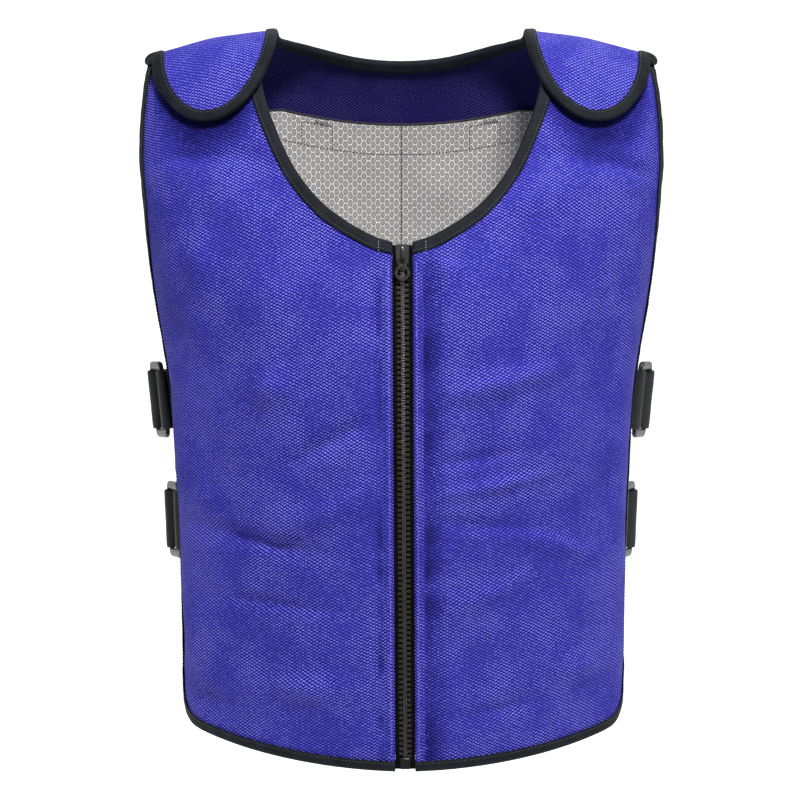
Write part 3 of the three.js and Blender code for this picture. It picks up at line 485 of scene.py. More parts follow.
KNIT_LEAN = 0.45
KNIT_STEP = 0.42


def fold_rise(side, across, run):
    """Sum over the folds of rise times exp(-2 (u^2 + v^2)), u and v being the distances from the
    fold's middle along its tilted axes, over its half sizes."""
    down = -section(place_at(run))[0]
    total = np.zeros_like(across)
    for _, mid, low, wide, tall, tilt, rise in FOLDS[FOLDS[:, 0] == side]:
        turn = math.radians(tilt)
        a = across - mid * SHOULDER_HALF
        d = low * BODY_LENGTH - down
        u = (a * math.cos(turn) + d * math.sin(turn)) / (wide * SHOULDER_HALF)
        v = (d * math.cos(turn) - a * math.sin(turn)) / (tall * SHOULDER_HALF)
        total += rise * np.exp(-2 * (u * u + v * v))
    return total


def calc(material, operation, *inputs, kind="ShaderNodeMath"):
    """Adds a math node to a material. Each input is a number, a vector or another node's output."""
    node = material.node_tree.nodes.new(kind)
    node.operation = operation
    for socket, value in zip(node.inputs, inputs):
        if isinstance(value, (int, float, tuple)):
            socket.default_value = value
        else:
            material.node_tree.links.new(value, socket)
    return node.outputs["Value" if operation == "DOT_PRODUCT" else 0]


def cloth_place(nodes):
    """The cloth's own UV, in metres."""
    uv = nodes.new("ShaderNodeUVMap")
    uv.uv_map = "cloth"
    return uv.outputs["UV"]


def noise(nodes, links, scale, detail=2.0):
    """Noise fixed to the object's own coordinates."""
    coords = nodes.new("ShaderNodeTexCoord")
    spots = nodes.new("ShaderNodeTexNoise")
    spots.inputs["Scale"].default_value = scale
    spots.inputs["Detail"].default_value = detail
    links.new(coords.outputs["Object"], spots.inputs["Vector"])
    return spots.outputs["Fac"]


def color_stops(nodes, links, shader, factor, stops):
    """Colours the shader by a factor: stops are (position, colour), from the lowest to the highest."""
    tone = nodes.new("ShaderNodeValToRGB")
    for element, (position, color) in zip(tone.color_ramp.elements, (stops[0], stops[-1])):
        element.position = position
        element.color = (*color, 1.0)
    for position, color in stops[1:-1]:
        tone.color_ramp.elements.new(position).color = (*color, 1.0)
    links.new(factor, tone.inputs["Fac"])
    links.new(tone.outputs["Color"], shader.inputs["Base Color"])


def raise_by(nodes, links, shader, height, strength, distance):
    """Gives the shader a bump from a height, with the distance in millimetres."""
    raised = nodes.new("ShaderNodeBump")
    raised.inputs["Strength"].default_value = strength
    raised.inputs["Distance"].default_value = distance * MM
    links.new(height, raised.inputs["Height"])
    links.new(raised.outputs["Normal"], shader.inputs["Normal"])


def quilt_cloth(name, dark, light, bump):
    """Ribbed knit in columns half a rib wide. With c = 2 u / rib, its yarn's height is
    sin(2 pi (v / row + lean pingpong(c) + step floor(c) + 0.9 noise)), so that the dashes lean up in
    one column and down in the next. sin(pi pingpong(c)) breaks them at the columns' edges, clouds and
    grain change their contrast and the cloth's tone, and the crease attribute is painted shade that
    dims both."""
    material, nodes, links, shader = plain_material(name, light, 0.78)
    split = nodes.new("ShaderNodeSeparateXYZ")
    links.new(cloth_place(nodes), split.inputs[0])
    columns = calc(material, "MULTIPLY", split.outputs[0], 2 / (KNIT_RIB * MM))
    ribs = calc(material, "PINGPONG", columns, 1.0)
    climb = calc(material, "MULTIPLY", split.outputs[1], 1 / (KNIT_ROW * MM))
    phase = calc(material, "MULTIPLY_ADD", ribs, KNIT_LEAN, climb)
    phase = calc(material, "MULTIPLY_ADD", calc(material, "FLOOR", columns), KNIT_STEP, phase)
    phase = calc(material, "MULTIPLY_ADD", noise(nodes, links, 42.0, 1.0), 0.9, phase)
    yarn = calc(material, "SINE", calc(material, "MULTIPLY", phase, 2 * math.pi))
    groove = calc(material, "MULTIPLY", ribs, 0.5)
    relief = calc(material, "ADD", calc(material, "MULTIPLY", yarn, 0.7), groove)

    clouds = noise(nodes, links, 26.0, 3.0)
    grain = noise(nodes, links, 520.0, 2.0)
    contrast = nodes.new("ShaderNodeMapRange")
    for socket, value in (("From Min", 0.40), ("From Max", 0.62), ("To Min", 0.42), ("To Max", 0.92)):
        contrast.inputs[socket].default_value = value
    links.new(clouds, contrast.inputs["Value"])
    # Painted shade from the crease attribute: it flattens the knit's contrast and darkens the cloth.
    crease = nodes.new("ShaderNodeAttribute")
    crease.attribute_name = "crease"
    painted_shade_contrast = calc(material, "MULTIPLY_ADD", crease.outputs["Fac"], -0.75, 1.0)
    dash = calc(material, "SINE", calc(material, "MULTIPLY", ribs, math.pi))
    broken = calc(material, "MULTIPLY", calc(material, "MULTIPLY_ADD", grain, 3.4, -0.6), dash)
    shade = calc(material, "MULTIPLY", calc(material, "MULTIPLY", yarn, contrast.outputs["Result"]), broken)
    shade = calc(material, "MULTIPLY", shade, painted_shade_contrast)
    shade = calc(material, "ADD", shade, calc(material, "MULTIPLY_ADD", clouds, 0.26, 0.12))
    shade = calc(material, "ADD", shade, calc(material, "MULTIPLY", grain, 0.35))
    shade = calc(material, "SUBTRACT", shade, calc(material, "MULTIPLY", crease.outputs["Fac"], 0.4))
    # Painted highlight: the top stop whitens the knit's brightest dashes.
    painted_highlight = tuple(c + 0.2 * light[2] for c in light)
    color_stops(nodes, links, shader, shade, [(0.05, dark), (0.80, light), (1.0, painted_highlight)])
    raise_by(nodes, links, shader, relief, bump, 0.35)
    shader.inputs["Sheen Weight"].default_value = 0.05
    shader.inputs["Sheen Roughness"].default_value = 0.45
    shader.inputs["Sheen Tint"].default_value = (0.30, 0.30, 1.0, 1.0)
    shader.inputs["Specular IOR Level"].default_value = 0.12
    return material


blue_knit = quilt_cloth("blue_knit", (0.0040, 0.0030, 0.085), (0.086, 0.080, 0.72), 1.0)
front_across, front_run = front_pattern()
front_edge = np.vstack([
    np.stack([front_across[:, 0], front_run[:, 0]], -1),
    np.stack([front_across[-1], front_run[-1]], -1),
    np.stack([front_across[::-1, -1], front_run[::-1, -1]], -1),
    np.stack([front_across[0, ::-1], front_run[0, ::-1]], -1),
])
front_gap = edge_distance(front_across, front_run, front_edge[::3])


def front_height(side, across, run, gap):
    """Thickness of a front panel: the pressed edge plus padding, folds and ripples, less the groove
    of the topstitching beside the zip with its puckers."""
    under_flap = smooth((-run - FLAP_REACH - 6) / PAD_SLOPE)
    full = smooth((gap - SEAM_MARGIN) / PAD_SLOPE) * under_flap
    soft = ripples(across, run, BROAD_RIPPLE[0], 3 + side) * BROAD_RIPPLE[1]
    soft = soft + ripples(across, run, FINE_RIPPLE[0], 9 + side) * FINE_RIPPLE[1]
    soft *= np.minimum(1, gap / 30) * (0.3 + 0.7 * under_flap)
    folds = FOLD_GAIN * PADDING * fold_rise(side, across, run) * smooth((gap - 8) / 18)
    height = WALL + PADDING * full + folds * under_flap + soft
    below_neck = smooth((zip_top_run - 12 - run) / 8)
    past_stitch = across - ZIP_HALF - STITCH_IN
    pucker = ripples(0 * across, run, PUCKER_PITCH, 21 + side)
    groove = STITCH_GROOVE * np.exp(-(past_stitch / GROOVE_WIDTH) ** 2)
    crease = (1.5 + 1.2 * pucker) * np.exp(-((past_stitch - 4.0 - 2.0 * pucker) / (5.0 + 2.5 * side)) ** 2)
    strip = STRIP_RISE * np.exp(-((past_stitch + STRIP_IN) / STRIP_WIDTH) ** 2)
    bulge = ripples(0.4 * across, run, 2 * PUCKER_PITCH, 27 + side)
    swell = np.exp(-((past_stitch - SWELL_OUT) / SWELL_WIDTH) ** 2)
    swell *= (2.3 + 0.9 * side) * (1 + 0.7 * bulge)
    swell *= smooth((gap - 10) / 16)
    height = height + below_neck * (strip + swell - groove - crease * (past_stitch > -2))
    rounding = np.sqrt(np.clip(1 - (1 - np.minimum(1, (across - ZIP_HALF) / 2.0)) ** 2, 0, 1))
    return np.where(run < zip_top_run, 1.0 + (height - 1.0) * rounding, height)


def painted_shade_depth(side, across, run):
    """How much painted shade the knit gets, from 0 to 1: a soft painted shadow under the shoulder flap's
    round edge, and a puckered band of painted shade beside the topstitching of the zip."""
    outer = edge_at(run) - FLAP_INSET
    middle, half = (NECK_HALF + outer) / 2, (outer - NECK_HALF) / 2
    bow = np.sqrt(np.clip(1 - ((across - middle) / half) ** 2, 0, 1))
    below = -run - (FLAP_REACH - FLAP_ROUND) - FLAP_ROUND * bow
    flap_shadow = bow * (1 - smooth(below / FLAP_SHADE))
    past_stitch = across - ZIP_HALF - STITCH_IN
    pucker = ripples(0 * across, run, PUCKER_PITCH, 21 + side)
    broad = 6.5 + 2.5 * side
    zip_band = (0.36 + 0.12 * side + 0.34 * pucker) * np.exp(-((past_stitch - 0.3 * broad) / broad) ** 2)
    zip_band *= (past_stitch > -0.5) * smooth((zip_top_run - 4 - run) / 40)
    return np.clip(np.maximum(flap_shadow, zip_band), 0, 1)


for side, hand in ((1, "left"), (-1, "right")):
    top = front_height(side, front_across, front_run, front_gap)
    uv = MM * np.stack([side * front_across, front_run], axis=-1)
    upper = lay(side, front_across, front_run, np.maximum(top, LEAST_THICK))
    lower = lay(side, front_across, front_run, 0.0)
    panel = cloth_solid(f"quilted_front_{hand}", [(upper, lower, uv, side < 0)], blue_knit)
    # Painted shade: the knit is darkened under each shoulder flap's round edge and beside the zip's
    # topstitching.
    shade_points(panel, uv, painted_shade_depth(side, front_across, front_run))
    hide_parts(f"front_panel_{hand}")
    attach(panel, "vest")


# Topstitching. Doubled blue thread runs down each front panel beside the zip and holds the turned edge.
THREAD_PITCH = 3.0
THREAD_LENGTH = 2.1
THREAD_HALF = 0.33


def stitch_points(line, ups, pitch, length, half):
    """Stitches along a line in space: each is a small bead with two ends and four corners round its
    middle, half above the cloth. Returns (points, faces)."""
    run = np.concatenate([[0.0], np.cumsum(np.linalg.norm(np.diff(line, axis=0), axis=1))])
    stops = np.arange(0.5 * pitch, run[-1] - 0.4 * pitch, pitch)
    here = np.stack([np.interp(stops, run, line[:, k]) for k in range(3)], axis=-1)
    ahead = np.stack([np.interp(stops + pitch / 3, run, line[:, k]) for k in range(3)], axis=-1)
    up = np.stack([np.interp(stops, run, ups[:, k]) for k in range(3)], axis=-1)
    way = ahead - here
    way /= np.linalg.norm(way, axis=-1, keepdims=True)
    across = np.cross(way, up)
    across /= np.linalg.norm(across, axis=-1, keepdims=True)
    up = np.cross(across, way)
    shape = [(-0.5, 0, -0.6), (-0.25, 1, 0), (-0.25, 0, 1), (-0.25, -1, 0), (0.25, 1, 0), (0.25, 0, 1),
             (0.25, -1, 0), (0.5, 0, -0.6)]
    points = [here + length * a * way + half * b * across + half * c * up for a, b, c in shape]
    points = np.stack(points, axis=1)
    one = np.array([(0, 2, 1), (0, 3, 2), (1, 2, 5), (1, 5, 4), (2, 3, 6), (2, 6, 5), (4, 5, 7), (5, 6, 7)])
    faces = one[None] + 8 * np.arange(len(here))[:, None, None]
    return points.reshape(-1, 3), faces.reshape(-1, 3)


def stitch_object(name, rows, material, pitch=THREAD_PITCH, length=THREAD_LENGTH, half=THREAD_HALF):
    """One mesh for several rows of stitches, each row given as (line, ups) in metres."""
    points, faces, count = [], [], 0
    for line, ups in rows:
        p, f = stitch_points(line, ups, MM * pitch, MM * length, MM * half)
        points.append(p)
        faces.append(f + count)
        count += len(p)
    threads = mesh_object(name, np.concatenate(points), np.concatenate(faces), material)
    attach(threads, "vest")
    return threads


def laid_row(side, across, run, height):
    """A line on the cloth with its outward directions, for stitches."""
    line = lay(side, across, run, height)
    return line, lay(side, across, run, np.asarray(height) + 1.0) - line


def thread(name, color):
    """Twisted sewing thread, a little glossy."""
    material, _, _, shader = plain_material(name, color, 0.55)
    shader.inputs["Sheen Weight"].default_value = 0.2
    return material


blue_thread = thread("blue_thread", (0.20, 0.20, 0.70))
zip_side_rows = []
for side in (1, -1):
    down_zip = np.linspace(hem_run + SEAM_MARGIN, zip_top_run - 13.0, 260)
    for inset in (STITCH_IN, STITCH_IN - 5.2):
        at = np.full_like(down_zip, ZIP_HALF + inset)
        sewn = front_height(side, at, down_zip, np.full_like(at, inset))
        zip_side_rows.append(laid_row(side, at, down_zip, sewn + 0.1))
stitch_object("zip_side_stitches", zip_side_rows, blue_thread)


# Back panel. One padded piece from the hem up over both shoulders, where it ends in a round flap on
# each front panel. Its outer face is the blue knit, its inner face a navy copy of it as painted shade.
BACK_HEM_RISE = 16.0
NAPE_REACH = 50.0
FLAP_LIFT = 4.6
FLAP_HINGE = 14.0
SHOULDER_PAD = 0.25
SHOULDER_PAD_END = 110.0
LINING_DROP = 51.0
LINING_DIP = 12.0
back_hem_run = run_at_drop(BODY_LENGTH - BACK_HEM_RISE, True)
lining_run = run_at_drop(LINING_DROP, True)
lining_sag = run_at_drop(LINING_DROP + LINING_DIP, True) - lining_run


def lining_dip(across, run):
    """How far pattern rows hang down in the middle, most where the lining's top edge is sewn."""
    near = np.maximum(0, 1 - np.abs(run - lining_run) / (lining_run - NAPE_REACH))
    return lining_sag * near * (1 - np.minimum(1, across / NECK_HALF) ** 2)


def back_pattern():
    """Flat points of one half of the back panel: rows go from the hem up to the nape, round the neck,
    over the shoulder and end in rows that close the round flap."""
    upright = np.concatenate([np.linspace(back_hem_run, lining_run, 112)[:-1],
                              np.linspace(lining_run, NAPE_REACH, 8)[:-1]])
    turn = np.radians(np.linspace(90, 0, 16))
    flap_root = FLAP_ROUND - FLAP_REACH
    run = np.concatenate([upright, NAPE_REACH * np.sin(turn), np.linspace(0, flap_root, 7)[1:]])
    inner = np.concatenate([0 * upright, NECK_HALF * np.cos(turn), np.full(6, NECK_HALF)])
    outer = edge_at(run) - FLAP_INSET * smooth(-run / (FLAP_REACH - FLAP_ROUND))
    t = np.linspace(0, 1, 66)
    across = inner[:, None] + t * (outer - inner)[:, None]
    along = run[:, None] + lining_dip(across, run[:, None])
    root = across[-1]
    middle, half = (root[0] + root[-1]) / 2, (root[-1] - root[0]) / 2
    share = np.linspace(0, 1, 22)[1:, None]
    angle = share * math.radians(52)
    out = np.cos(angle) * (root - middle) / half
    bow = np.sqrt(1 - out ** 2)
    flap_across = middle + half * out
    flap_run = flap_root - FLAP_ROUND * (np.sin(angle) * (1 - share) + bow * share)
    return np.vstack([across, flap_across]), np.vstack([along, flap_run])


def flap_height(run):
    """Height of the back panel's inner face over the form: it climbs over the front panel's end."""
    return (WALL + FLAP_LIFT) * smooth((FLAP_HINGE - run) / (FLAP_HINGE + FRONT_END - 4))


def back_height(side, across, run, gap):
    """Height of the outer face: the inner face plus the wall, the padding and soft ripples."""
    share = SHOULDER_PAD + (1 - SHOULDER_PAD) * smooth(run / SHOULDER_PAD_END)
    soft = ripples(across, run, 52, 31 + side) * 1.2 + ripples(across, run, 23, 35 + side) * 0.5
    soft *= np.minimum(1, gap / 30) * smooth(across / 40 + (run < 0))
    full = smooth((gap - SEAM_MARGIN) / PAD_SLOPE) * share
    return flap_height(run) + WALL + PADDING * full + soft * (0.45 + 0.55 * share)


# Painted shade: the inner face is the blue knit made darker and navy, for the shade inside the back.
shaded_inner_knit = quilt_cloth("shaded_inner_knit", (0.0065, 0.0035, 0.045), (0.020, 0.013, 0.125), 0.3)
back_across, back_run = back_pattern()
back_edge = np.vstack([
    np.stack([back_across[back_across[:, 0] > 0, 0], back_run[back_across[:, 0] > 0, 0]], -1),
    np.stack([back_across[-1], back_run[-1]], -1),
    np.stack([back_across[::-1, -1], back_run[::-1, -1]], -1),
    np.stack([back_across[0, ::-1], back_run[0, ::-1]], -1),
])
back_gap = edge_distance(back_across, back_run, back_edge[::3])
back_patches = []
for side in (1, -1):
    top = back_height(side, back_across, back_run, back_gap)
    uv = MM * np.stack([side * back_across, back_run], axis=-1)
    upper = lay(side, back_across, back_run, top)
    lower = lay(side, back_across, back_run, flap_height(back_run))
    back_patches.append((upper, lower, uv, side < 0))
back = cloth_solid("quilted_back", back_patches, blue_knit, shaded_inner_knit)
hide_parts("back_panel")
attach(back, "vest")


# Back lining. A thin grey cloth printed with a net of light hexagons hangs inside the back. Black thread
# holds it: a row below the top edge, one down the middle, and two stitched boxes with a tack on each.
LINING_GAP = 0.6
LINING_CLOTH = 1.2
LINING_ROW = 25.0
BOX_NEAR = 60.0
BOX_FAR = 87.0
BOX_TOP = 6.0
BOX_FOOT = 26.0
CELL_WIDE = 4.7
CELL_TALL = 6.5
ROW_HALF = 190.0
TACK_HALF = 6.5
TACK_POINTS = 15
TACK_SWING = 1.9
TACK_SHIFT = 9.0


def net_cloth(name):
    """Printed hexagons. With p the flat place over the cell size, a and b are its places in the two
    nets of rectangles 1.732 by 1 that are shifted by half a step; the nearer centre g gives the
    distance to its cell's edge, max(|g.y|, |g.y| / 2 + 0.866 |g.x|), which is 0.5 on the edge."""
    material, nodes, links, shader = plain_material(name, (0.42, 0.41, 0.39), 0.85)

    def vector(operation, *inputs):
        """A vector math node in this material."""
        return calc(material, operation, *inputs, kind="ShaderNodeVectorMath")

    place = vector("DIVIDE", cloth_place(nodes), (CELL_WIDE * MM, CELL_TALL * MM, 1.0))
    step = (1.732, 1.0, 1.0)
    half = (0.866, 0.5, 0.5)
    nearest = []
    for shift in ((0.0, 0.0, 0.0), half):
        share = vector("FRACTION", vector("DIVIDE", vector("ADD", place, shift), step))
        inside = vector("SUBTRACT", vector("MULTIPLY", share, step), half)
        nearest.append(vector("MULTIPLY", inside, (1.0, 1.0, 0.0)))
    lengths = [vector("DOT_PRODUCT", g, g) for g in nearest]
    second = calc(material, "LESS_THAN", lengths[1], lengths[0])
    pick = nodes.new("ShaderNodeMix")
    pick.data_type = "VECTOR"
    links.new(second, pick.inputs[0])
    links.new(nearest[0], pick.inputs[4])
    links.new(nearest[1], pick.inputs[5])
    split = nodes.new("ShaderNodeSeparateXYZ")
    links.new(vector("ABSOLUTE", pick.outputs[1]), split.inputs[0])
    slanted = calc(material, "MULTIPLY", split.outputs[0], 0.866)
    slanted = calc(material, "MULTIPLY_ADD", split.outputs[1], 0.5, slanted)
    distance = calc(material, "MAXIMUM", split.outputs[1], slanted)
    worn = calc(material, "MULTIPLY_ADD", noise(nodes, links, 420.0, 3.0), 0.14, distance)
    stops = [(0.25, (0.36, 0.345, 0.325)), (0.46, (0.21, 0.20, 0.185)), (0.57, (0.93, 0.91, 0.88))]
    color_stops(nodes, links, shader, worn, stops)
    raise_by(nodes, links, shader, worn, 0.35, 0.3)
    return material


def lining_depth(across, run):
    """How far the lining hangs inside the back: small waves that die out at its stitched edges, and a
    shallow valley along the middle stitches."""
    wave = 1.1 + ripples(across, run, 38, 61) + 0.35 * ripples(across, run, 13, 62)
    free = smooth((run - lining_run) / 60) * smooth(np.abs(across) / 25)
    return 1.5 * np.maximum(0, wave) * free


lining_net = net_cloth("lining_net")
lining_runs = np.linspace(back_hem_run - SEAM_MARGIN, lining_run, 130)
lining_outer = edge_at(lining_runs) - SEAM_MARGIN
lining_across = np.linspace(0, 1, 72) * lining_outer[:, None]
lining_down = lining_runs[:, None] + lining_dip(lining_across, lining_runs[:, None])
lining_patches = []
for side in (1, -1):
    depth = lining_depth(side * lining_across, lining_down)
    depth *= np.minimum(1, (lining_outer[:, None] - lining_across) / 20)
    upper = lay(side, lining_across, lining_down, -LINING_GAP - depth)
    lower = lay(side, lining_across, lining_down, -LINING_GAP - LINING_CLOTH - depth)
    uv = MM * np.stack([side * lining_across, lining_down], axis=-1)
    lining_patches.append((upper, lower, uv, side < 0))
lining = cloth_solid("hung_lining", lining_patches, lining_net)
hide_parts("back_lining")
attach(lining, "vest")

black_thread = thread("black_thread", (0.012, 0.012, 0.014))
lining_face = -LINING_GAP - LINING_CLOTH


def lining_row(across, run):
    """A row of thread on the face of the lining that the wearer sees, pointing inwards."""
    depth = lining_depth(across, run)
    line = lay(1, across, run, lining_face - depth - 0.05)
    return line, lay(1, across, run, lining_face - depth - 1.0) - line


def below_top(across, down):
    """The run at a distance below the lining's top edge."""
    return lining_run + lining_dip(np.abs(across), np.full_like(across, lining_run)) + down


wide_row = np.linspace(-ROW_HALF, ROW_HALF, 400)
middle_runs = np.linspace(lining_run + lining_sag + 1, back_hem_run - 30, 500)
lining_rows = [lining_row(wide_row, below_top(wide_row, LINING_ROW))]
lining_rows.append(lining_row(np.full_like(middle_runs, 0.4), middle_runs))
for side in (1, -1):
    near = np.full(30, side * BOX_NEAR)
    far = np.full(30, side * BOX_FAR)
    level = np.linspace(side * BOX_NEAR, side * BOX_FAR, 30)
    down = np.linspace(BOX_TOP, BOX_FOOT, 30)
    lining_rows.append(lining_row(near, below_top(near, down)))
    lining_rows.append(lining_row(far, below_top(far, down)))
    lining_rows.append(lining_row(level, below_top(level, BOX_TOP)))
lining_stitches = stitch_object("lining_stitches", lining_rows, black_thread, 2.9, 2.4, 0.45)
tack_rows = []
for tack_at in (BOX_FAR - TACK_SHIFT, -BOX_NEAR - TACK_SHIFT):
    zigzag = np.linspace(tack_at - TACK_HALF, tack_at + TACK_HALF, TACK_POINTS)
    swing_row = TACK_SWING * np.where(np.arange(TACK_POINTS) % 2, 1.0, -1.0)
    tack_rows.append(lining_row(zigzag, below_top(zigzag, BOX_TOP - 1.0 + swing_row)))
tacks = stitch_object("lining_tacks", tack_rows, black_thread, 1.9, 2.2, 0.3)
edge_row = np.linspace(-ROW_HALF, ROW_HALF, 320)
seam_row = lining_row(edge_row, below_top(edge_row, 0.4))
seam = stitch_object("lining_top_seam", [seam_row], black_thread, 1.6, 2.6, 0.9)


# Bindings. Charcoal satin tape is folded round every open edge of the panels and sewn through with a
# row of thread near its inner edge.
SEAM_GAP = 0.4
BINDING_CLOTH = 0.9
BINDING_SLACK = 1.0
BINDING_STITCH_IN = 7.4
FLANGE_TOP = 5.12


def satin_tape(name, color):
    """Satin tape: fine slanted threads in the cloth's own UV and a dull shine, with faint clouds."""
    material, nodes, links, shader = plain_material(name, color, 0.72)
    threads = nodes.new("ShaderNodeTexWave")
    threads.wave_type = "BANDS"
    threads.bands_direction = "DIAGONAL"
    threads.inputs["Scale"].default_value = 420.0
    threads.inputs["Distortion"].default_value = 0.6
    links.new(cloth_place(nodes), threads.inputs["Vector"])
    stops = [(0.3, [0.55 * c for c in color]), (0.75, [1.55 * c for c in color])]
    color_stops(nodes, links, shader, noise(nodes, links, 60.0), stops)
    raise_by(nodes, links, shader, threads.outputs["Fac"], 0.6, 0.2)
    shader.inputs["Specular IOR Level"].default_value = 0.2
    return material


# The folded tape in section: how far each point lies in from the panel's edge, and how high above the
# panel's inner face. It goes from the outer flange round the edge to the inner one and back inside.
FOLD_SECTION = np.array([
    # inset, height
    (9.7, 4.25), (10.0, 4.6), (9.7, 4.95), (8.6, 5.0), (6.5, 5.05), (4.2, 5.05), (2.0, 5.0), (0.4, 4.85),
    (-0.75, 4.2), (-1.3, 3.1), (-1.4, 1.8), (-1.3, 0.5), (-0.75, -0.75), (0.4, -1.3), (2.5, -1.5),
    (6.0, -1.85), (9.6, -2.25), (10.0, -1.95), (9.8, -1.5), (5.0, -0.95), (0.0, -0.4), (-0.4, 0.0),
    (-0.4, 3.5), (0.0, 3.9),
])


def square_to(line, closed):
    """Unit directions on the right of a flat line, lengthened at corners so that an offset stays even."""
    if closed:
        ways = np.roll(line, -1, axis=0) - line
        before = np.roll(ways, 1, axis=0)
    else:
        ways = np.vstack([np.diff(line, axis=0), line[-1:] - line[-2:-1]])
        before = np.vstack([ways[:1], ways[:-1]])
    after = ways / np.linalg.norm(ways, axis=-1, keepdims=True)
    before = before / np.linalg.norm(before, axis=-1, keepdims=True)
    sides = [np.stack([w[:, 1], -w[:, 0]], axis=-1) for w in (before, after)]
    normal = sides[0] + sides[1]
    normal /= np.linalg.norm(normal, axis=-1, keepdims=True)
    return normal / np.maximum(0.5, np.sum(normal * sides[0], axis=-1, keepdims=True))


def folded_tape(name, side, line, inward, base, closed, seed, narrow, upright_end=0.0):
    """Sweeps the fold's section along a line of pattern points, over the height that base gives for a
    run. narrow scales how far in its flanges reach, and upright_end is the length over which its first
    end turns square to the zip. Ripples lift the outer flange. Returns the tape and its row of thread."""
    inwards = inward * square_to(line, closed)
    steps = np.linalg.norm(np.diff(line, axis=0, append=line[:1] if closed else line[-1:]), axis=-1)
    along = np.concatenate([[0.0], np.cumsum(steps)[:-1]])
    if upright_end:
        turned = smooth(1 - along / upright_end)[:, None]
        inwards = inwards * (1 - turned) + turned * (0.0, -1.0)
    inset, height = FOLD_SECTION.T
    inset = np.where(inset > 0, inset * narrow, inset)
    a = line[:, None, 0] + inwards[:, None, 0] * inset
    r = line[:, None, 1] + inwards[:, None, 1] * inset
    outer = np.zeros(len(inset))
    outer[1:8] = 1.0
    pucker = ripples(along[:, None] + 0 * inset, 3 * inset, 7.0, seed) * 0.28
    pucker += ripples(along[:, None] + 0 * inset, 0 * inset + 9, 19.0, seed + 1) * 0.18
    lift = base(r) + height + outer * np.maximum(-0.3, pucker)
    points = lay(side, a, r, lift)
    if closed:
        points = np.concatenate([points, points[:1]])
        along = np.concatenate([along, [along[-1] + steps[-1]]])
    rows, columns = points.shape[:2]
    section_steps = np.diff(FOLD_SECTION, axis=0, prepend=FOLD_SECTION[:1])
    round_section = np.cumsum(np.linalg.norm(section_steps, axis=-1))
    uv = MM * np.stack(np.broadcast_arrays(round_section, along[:, None]), axis=-1)
    faces = grid_faces(rows, columns, closed=True).tolist()
    if not closed:
        faces.append(list(range(columns))[::-1])
        faces.append([(rows - 1) * columns + k for k in range(columns)])
    tape = mesh_object(name, points.reshape(-1, 3), faces, binding_tape, uv.reshape(-1, 2))
    turn_outward(tape)
    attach(tape, "vest")
    sewn = line + inwards * BINDING_STITCH_IN * narrow
    top = base(sewn[:, 1]) + FLANGE_TOP + 0.5 * np.maximum(-0.3, pucker[:, 3])
    return tape, laid_row(side, sewn[:, 0], sewn[:, 1], top)


def turn_outward(piece):
    """Turns every face of a closed mesh the right way out."""
    shape = bmesh.new()
    shape.from_mesh(piece.data)
    bmesh.ops.recalc_face_normals(shape, faces=shape.faces)
    shape.to_mesh(piece.data)
    shape.free()


def flat_base(run):
    """The height of a front panel's inner face, which lies on the form itself."""
    return 0.0 * run


binding_tape = satin_tape("binding_tape", (0.0062, 0.0085, 0.0125))
binding_thread = thread("binding_thread", (0.035, 0.038, 0.047))
tape_rows = []
outer_column = np.stack([front_across[::-1, -1], front_run[::-1, -1]], -1)
hem_row = np.stack([front_across[0, ::-1], front_run[0, ::-1]], -1)
side_line = even_line(np.vstack([outer_column, hem_row[1:]]), 2.5)
neck_tape_line = even_line(neck_line, 2.0)
for side, hand in ((1, "left"), (-1, "right")):
    tape, row = folded_tape(f"neck_tape_{hand}", side, neck_tape_line, 1, flat_base, False, 71 + side,
                            0.84, upright_end=16.0)
    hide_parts(f"neck_binding_{hand}")
    tape_rows.append(row)
    tape, row = folded_tape(f"side_tape_{hand}", side, side_line, 1, flat_base, False, 81 + side, 0.74)
    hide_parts(f"side_binding_{hand}")
    tape_rows.append(row)
neck_side = back_across[:, 0] > 0
half_line = np.vstack([
    [(0.0, NAPE_REACH)],
    np.stack([back_across[neck_side, 0], back_run[neck_side, 0]], -1),
    np.stack([back_across[-1, 1:], back_run[-1, 1:]], -1),
    np.stack([back_across[-2::-1, -1], back_run[-2::-1, -1]], -1),
])
back_hem_line = np.array([half_line[-1], (0, back_hem_run)])
half_line = np.vstack([even_line(half_line, 2.5), even_line(back_hem_line, 2.5)[1:]])
mirrored = half_line[1:-1][::-1] * (-1, 1)
tape, row = folded_tape("back_tape", 1, np.vstack([half_line, mirrored]), -1, flap_height, True, 91, 0.72)
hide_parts("back_binding")
tape_rows.append(row)
stitch_object("binding_stitches", tape_rows, binding_thread, 2.9, 2.0, 0.3)

# The ends of the neck tape are tacked down beside the zip with a short upright row of paler thread.
TACK_ACROSS = 18.5
end_thread = thread("end_thread", (0.22, 0.22, 0.26))
tack_run = np.linspace(zip_top_run - 9.0, zip_top_run + 2.5, 12)
tack_across = np.full_like(tack_run, TACK_ACROSS)
tack_height = np.full_like(tack_run, FLANGE_TOP + 0.18)
end_rows = [laid_row(side, tack_across, tack_run, tack_height) for side in (1, -1)]
stitch_object("tape_end_stitches", end_rows, end_thread, 2.3, 1.6, 0.36)


# Zip tapes. Two woven black bands are sewn behind the panels and carry the teeth on their inner edges.
ZIP_TEETH_HALF = 4.2
TAPE_GAP = 0.6
TAPE_CLOTH = 1.0
TAPE_REACH = 12.0


